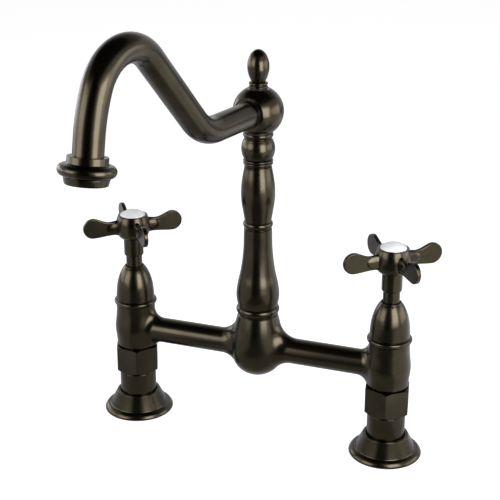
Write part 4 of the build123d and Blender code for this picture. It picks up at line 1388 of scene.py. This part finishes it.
@dataclass
class Studio:
    """White room and floor, four soft boxes, cards for the reflections and the camera itself."""

    lens: float = 85.878
    sensor: float = 36.0
    clip: Span = (0.02, 50.0)
    azimuth: float = 20.983
    elevation: float = 20.389
    distance: float = 0.875695
    target: float = 0.147296
    aside: float = -0.005839
    ambient: float = 0.38
    mirrored: float = 0.45
    floor_half: float = 6.0
    floor_drop: float = 0.0001
    paper: Colour = (0.68, 0.68, 0.68)
    paper_glow: float = 0.72
    box_colour: Colour = (1.0, 1.0, 1.15)
    watts: float = 4.0           # for each square metre of a soft box's face at level 1
    boxes: tuple[SoftBox, ...] = (
        SoftBox("right_box", 53, 15, 0.46, 0.27, 0.32, 5.4),
        SoftBox("left_box", -38, 17, 1.0, 0.60, 0.52, 2.7),
        SoftBox("left_wall", -92, 9, 1.1, 1.20, 0.42, 1.6),
        SoftBox("right_wall", 106, 8, 1.1, 0.95, 0.48, 2.0))
    cards: tuple[Card, ...] = (
        Card("overhead_card", 0.02, ((-0.7, -0.8, 0.9), (0.7, -0.8, 0.9), (0.8, 0.35, 0.9),
                                     (-0.8, 0.35, 0.9))),
        Card("upper_card", 0.24, ((-0.8, 0.35, 0.9), (0.8, 0.35, 0.9), (0.9, 0.95, 0.9),
                                  (-0.9, 0.95, 0.9))),
        Card("camera_card", 0.01, ((-0.17, -0.78, 0), (0.52, -0.78, 0), (0.52, -0.78, 1.8),
                                   (-0.17, -0.78, 1.8))),
        Card("near_card", 0.38, ((-0.13, -0.02, 0.001), (0.15, -0.02, 0.001), (0.21, -0.14, 0.001),
                                 (-0.135, -0.14, 0.001))),
        Card("floor_card", 0.13, ((-0.135, -0.14, 0.001), (0.21, -0.14, 0.001), (0.55, -0.78, 0.001),
                                  (-0.17, -0.78, 0.001))),
        Card("bright_card", 1.05, ((0.20, -0.25, 0.001), (1.2, -0.6, 0.001), (1.2, 1.0, 0.001),
                                   (0.20, 0.6, 0.001))))

    def toward(self, azimuth: float, elevation: float, distance: float) -> Vector:
        """A point seen from the faucet's middle.

        Args:
            azimuth: Degrees round from -Y towards +X.
            elevation: Degrees above the horizon.
            distance: Metres from the middle.

        Returns:
            The point.
        """
        a, e = math.radians(azimuth), math.radians(elevation)
        away = Vector((math.sin(a) * math.cos(e), -math.cos(a) * math.cos(e), math.sin(e)))
        return Vector((0, 0, self.target)) + away * distance

    def aim(self, name: str, device: bpy.types.ID, spot: Vector) -> bpy.types.Object:
        """Stands a camera or a lamp at a spot, aimed at the faucet's middle.

        Args:
            name: Its name.
            device: Its data.
            spot: Where it stands.

        Returns:
            The camera or lamp as an object.
        """
        holder = bpy.data.objects.new(name, device)
        bpy.context.scene.collection.objects.link(holder)
        holder.location = spot
        holder.rotation_mode = "QUATERNION"
        holder.rotation_quaternion = (Vector((0, 0, self.target)) - spot).to_track_quat("-Z", "Y")
        return holder

    def camera(self) -> None:
        """Places the camera where the photo was taken from."""
        lens = bpy.data.cameras.new("photo_camera")
        lens.lens, lens.sensor_width, lens.sensor_fit = self.lens, self.sensor, "HORIZONTAL"
        lens.clip_start, lens.clip_end = self.clip
        spot = self.toward(self.azimuth, self.elevation, self.distance)
        holder = self.aim("photo_camera", lens, spot)
        forward = Vector((0, 0, self.target)) - spot
        right = forward.cross(Vector((0, 0, 1))).normalized()
        holder.location = spot + right * self.aside
        bpy.context.scene.camera = holder

    def light(self, box: SoftBox) -> None:
        """Adds one soft box.

        Args:
            box: The soft box.
        """
        lamp = bpy.data.lights.new(box.name, "AREA")
        lamp.shape, lamp.size, lamp.size_y = "RECTANGLE", box.width, box.height
        lamp.energy = self.watts * box.width * box.height * box.level
        lamp.color = self.box_colour
        holder = self.aim(box.name, lamp, self.toward(box.azimuth, box.elevation, box.distance))
        holder.visible_camera = False

    def hang(self, card: Card) -> None:
        """Adds a card that only reflections show.

        Args:
            card: The card.
        """
        bm = bmesh.new()
        bmesh.ops.contextual_create(bm, geom=[bm.verts.new(corner) for corner in card.corners])
        holder = self.stand(bm, card.name)
        paint = bpy.data.materials.new(card.name)
        paint.use_nodes = True
        recipe = Recipe(paint.node_tree)
        glow = recipe.node("ShaderNodeEmission", {}, {"Color": WHITE, "Strength": card.level})
        recipe.node("ShaderNodeOutputMaterial", {}, {"Surface": glow})
        holder.data.materials.append(paint)
        holder.visible_camera = holder.visible_diffuse = holder.visible_shadow = False
        holder.visible_transmission = False

    def stand(self, bm: Solid, name: str) -> bpy.types.Object:
        """Sets up a sheet of the studio that isn't part of the faucet.

        Args:
            bm: The sheet, which this call frees.
            name: Its name.

        Returns:
            The sheet as an object.
        """
        mesh = bpy.data.meshes.new(name)
        bm.to_mesh(mesh)
        bm.free()
        holder = bpy.data.objects.new(name, mesh)
        bpy.context.scene.collection.objects.link(holder)
        return holder

    def floor(self) -> None:
        """Lays the pale floor, which the camera sees as white and which keeps the shadow."""
        bm = bmesh.new()
        bmesh.ops.create_grid(bm, x_segments=1, y_segments=1, size=self.floor_half)
        bmesh.ops.translate(bm, vec=(0, 0, -self.floor_drop), verts=bm.verts[:])
        holder = self.stand(bm, "pale_floor")
        paper = bpy.data.materials.new("pale_paper")
        paper.use_nodes = True
        recipe = Recipe(paper.node_tree)
        camera_ray = recipe.node("ShaderNodeLightPath", {}, {}, "Is Camera Ray")
        matte = recipe.node("ShaderNodeBsdfDiffuse", {}, {"Color": self.paper})
        glow = recipe.node("ShaderNodeEmission", {},
                           {"Color": WHITE, "Strength": camera_ray * self.paper_glow})
        both = recipe.node("ShaderNodeAddShader", {}, {0: matte, 1: glow})
        recipe.node("ShaderNodeOutputMaterial", {}, {"Surface": both})
        holder.data.materials.append(paper)

    def surroundings(self) -> None:
        """Makes the room: white to the camera, dimmer in reflections and as fill light."""
        world = bpy.data.worlds.new("white_room")
        world.use_nodes = True
        bpy.context.scene.world = world
        recipe = Recipe(world.node_tree)
        camera, glossy, clear = (recipe.node("ShaderNodeLightPath", {}, {}, f"Is {ray} Ray")
                                 for ray in ("Camera", "Glossy", "Transmission"))
        seen = camera + clear + glossy * self.mirrored
        strength = self.ambient + seen * (1.0 - self.ambient)
        glow = recipe.node("ShaderNodeBackground", {}, {"Color": WHITE, "Strength": strength})
        recipe.node("ShaderNodeOutputWorld", {}, {"Surface": glow})

    def build(self) -> None:
        """Sets up the whole studio."""
        self.camera()
        self.floor()
        self.surroundings()
        for box in self.boxes:
            self.light(box)
        for card in self.cards:
            self.hang(card)
        bpy.context.scene.view_settings.view_transform = "Standard"


def main() -> None:
    """Builds the faucet and its studio."""
    logging.basicConfig(level=logging.INFO, format="%(message)s")
    Studio().build()
    CentreColumn().build()
    Spout().build()
    ValveColumn(Side.HOT, nut_turn=-65.5).build()
    ValveColumn(Side.COLD, nut_turn=-78.5).build()


if __name__ == "__main__":
    main()
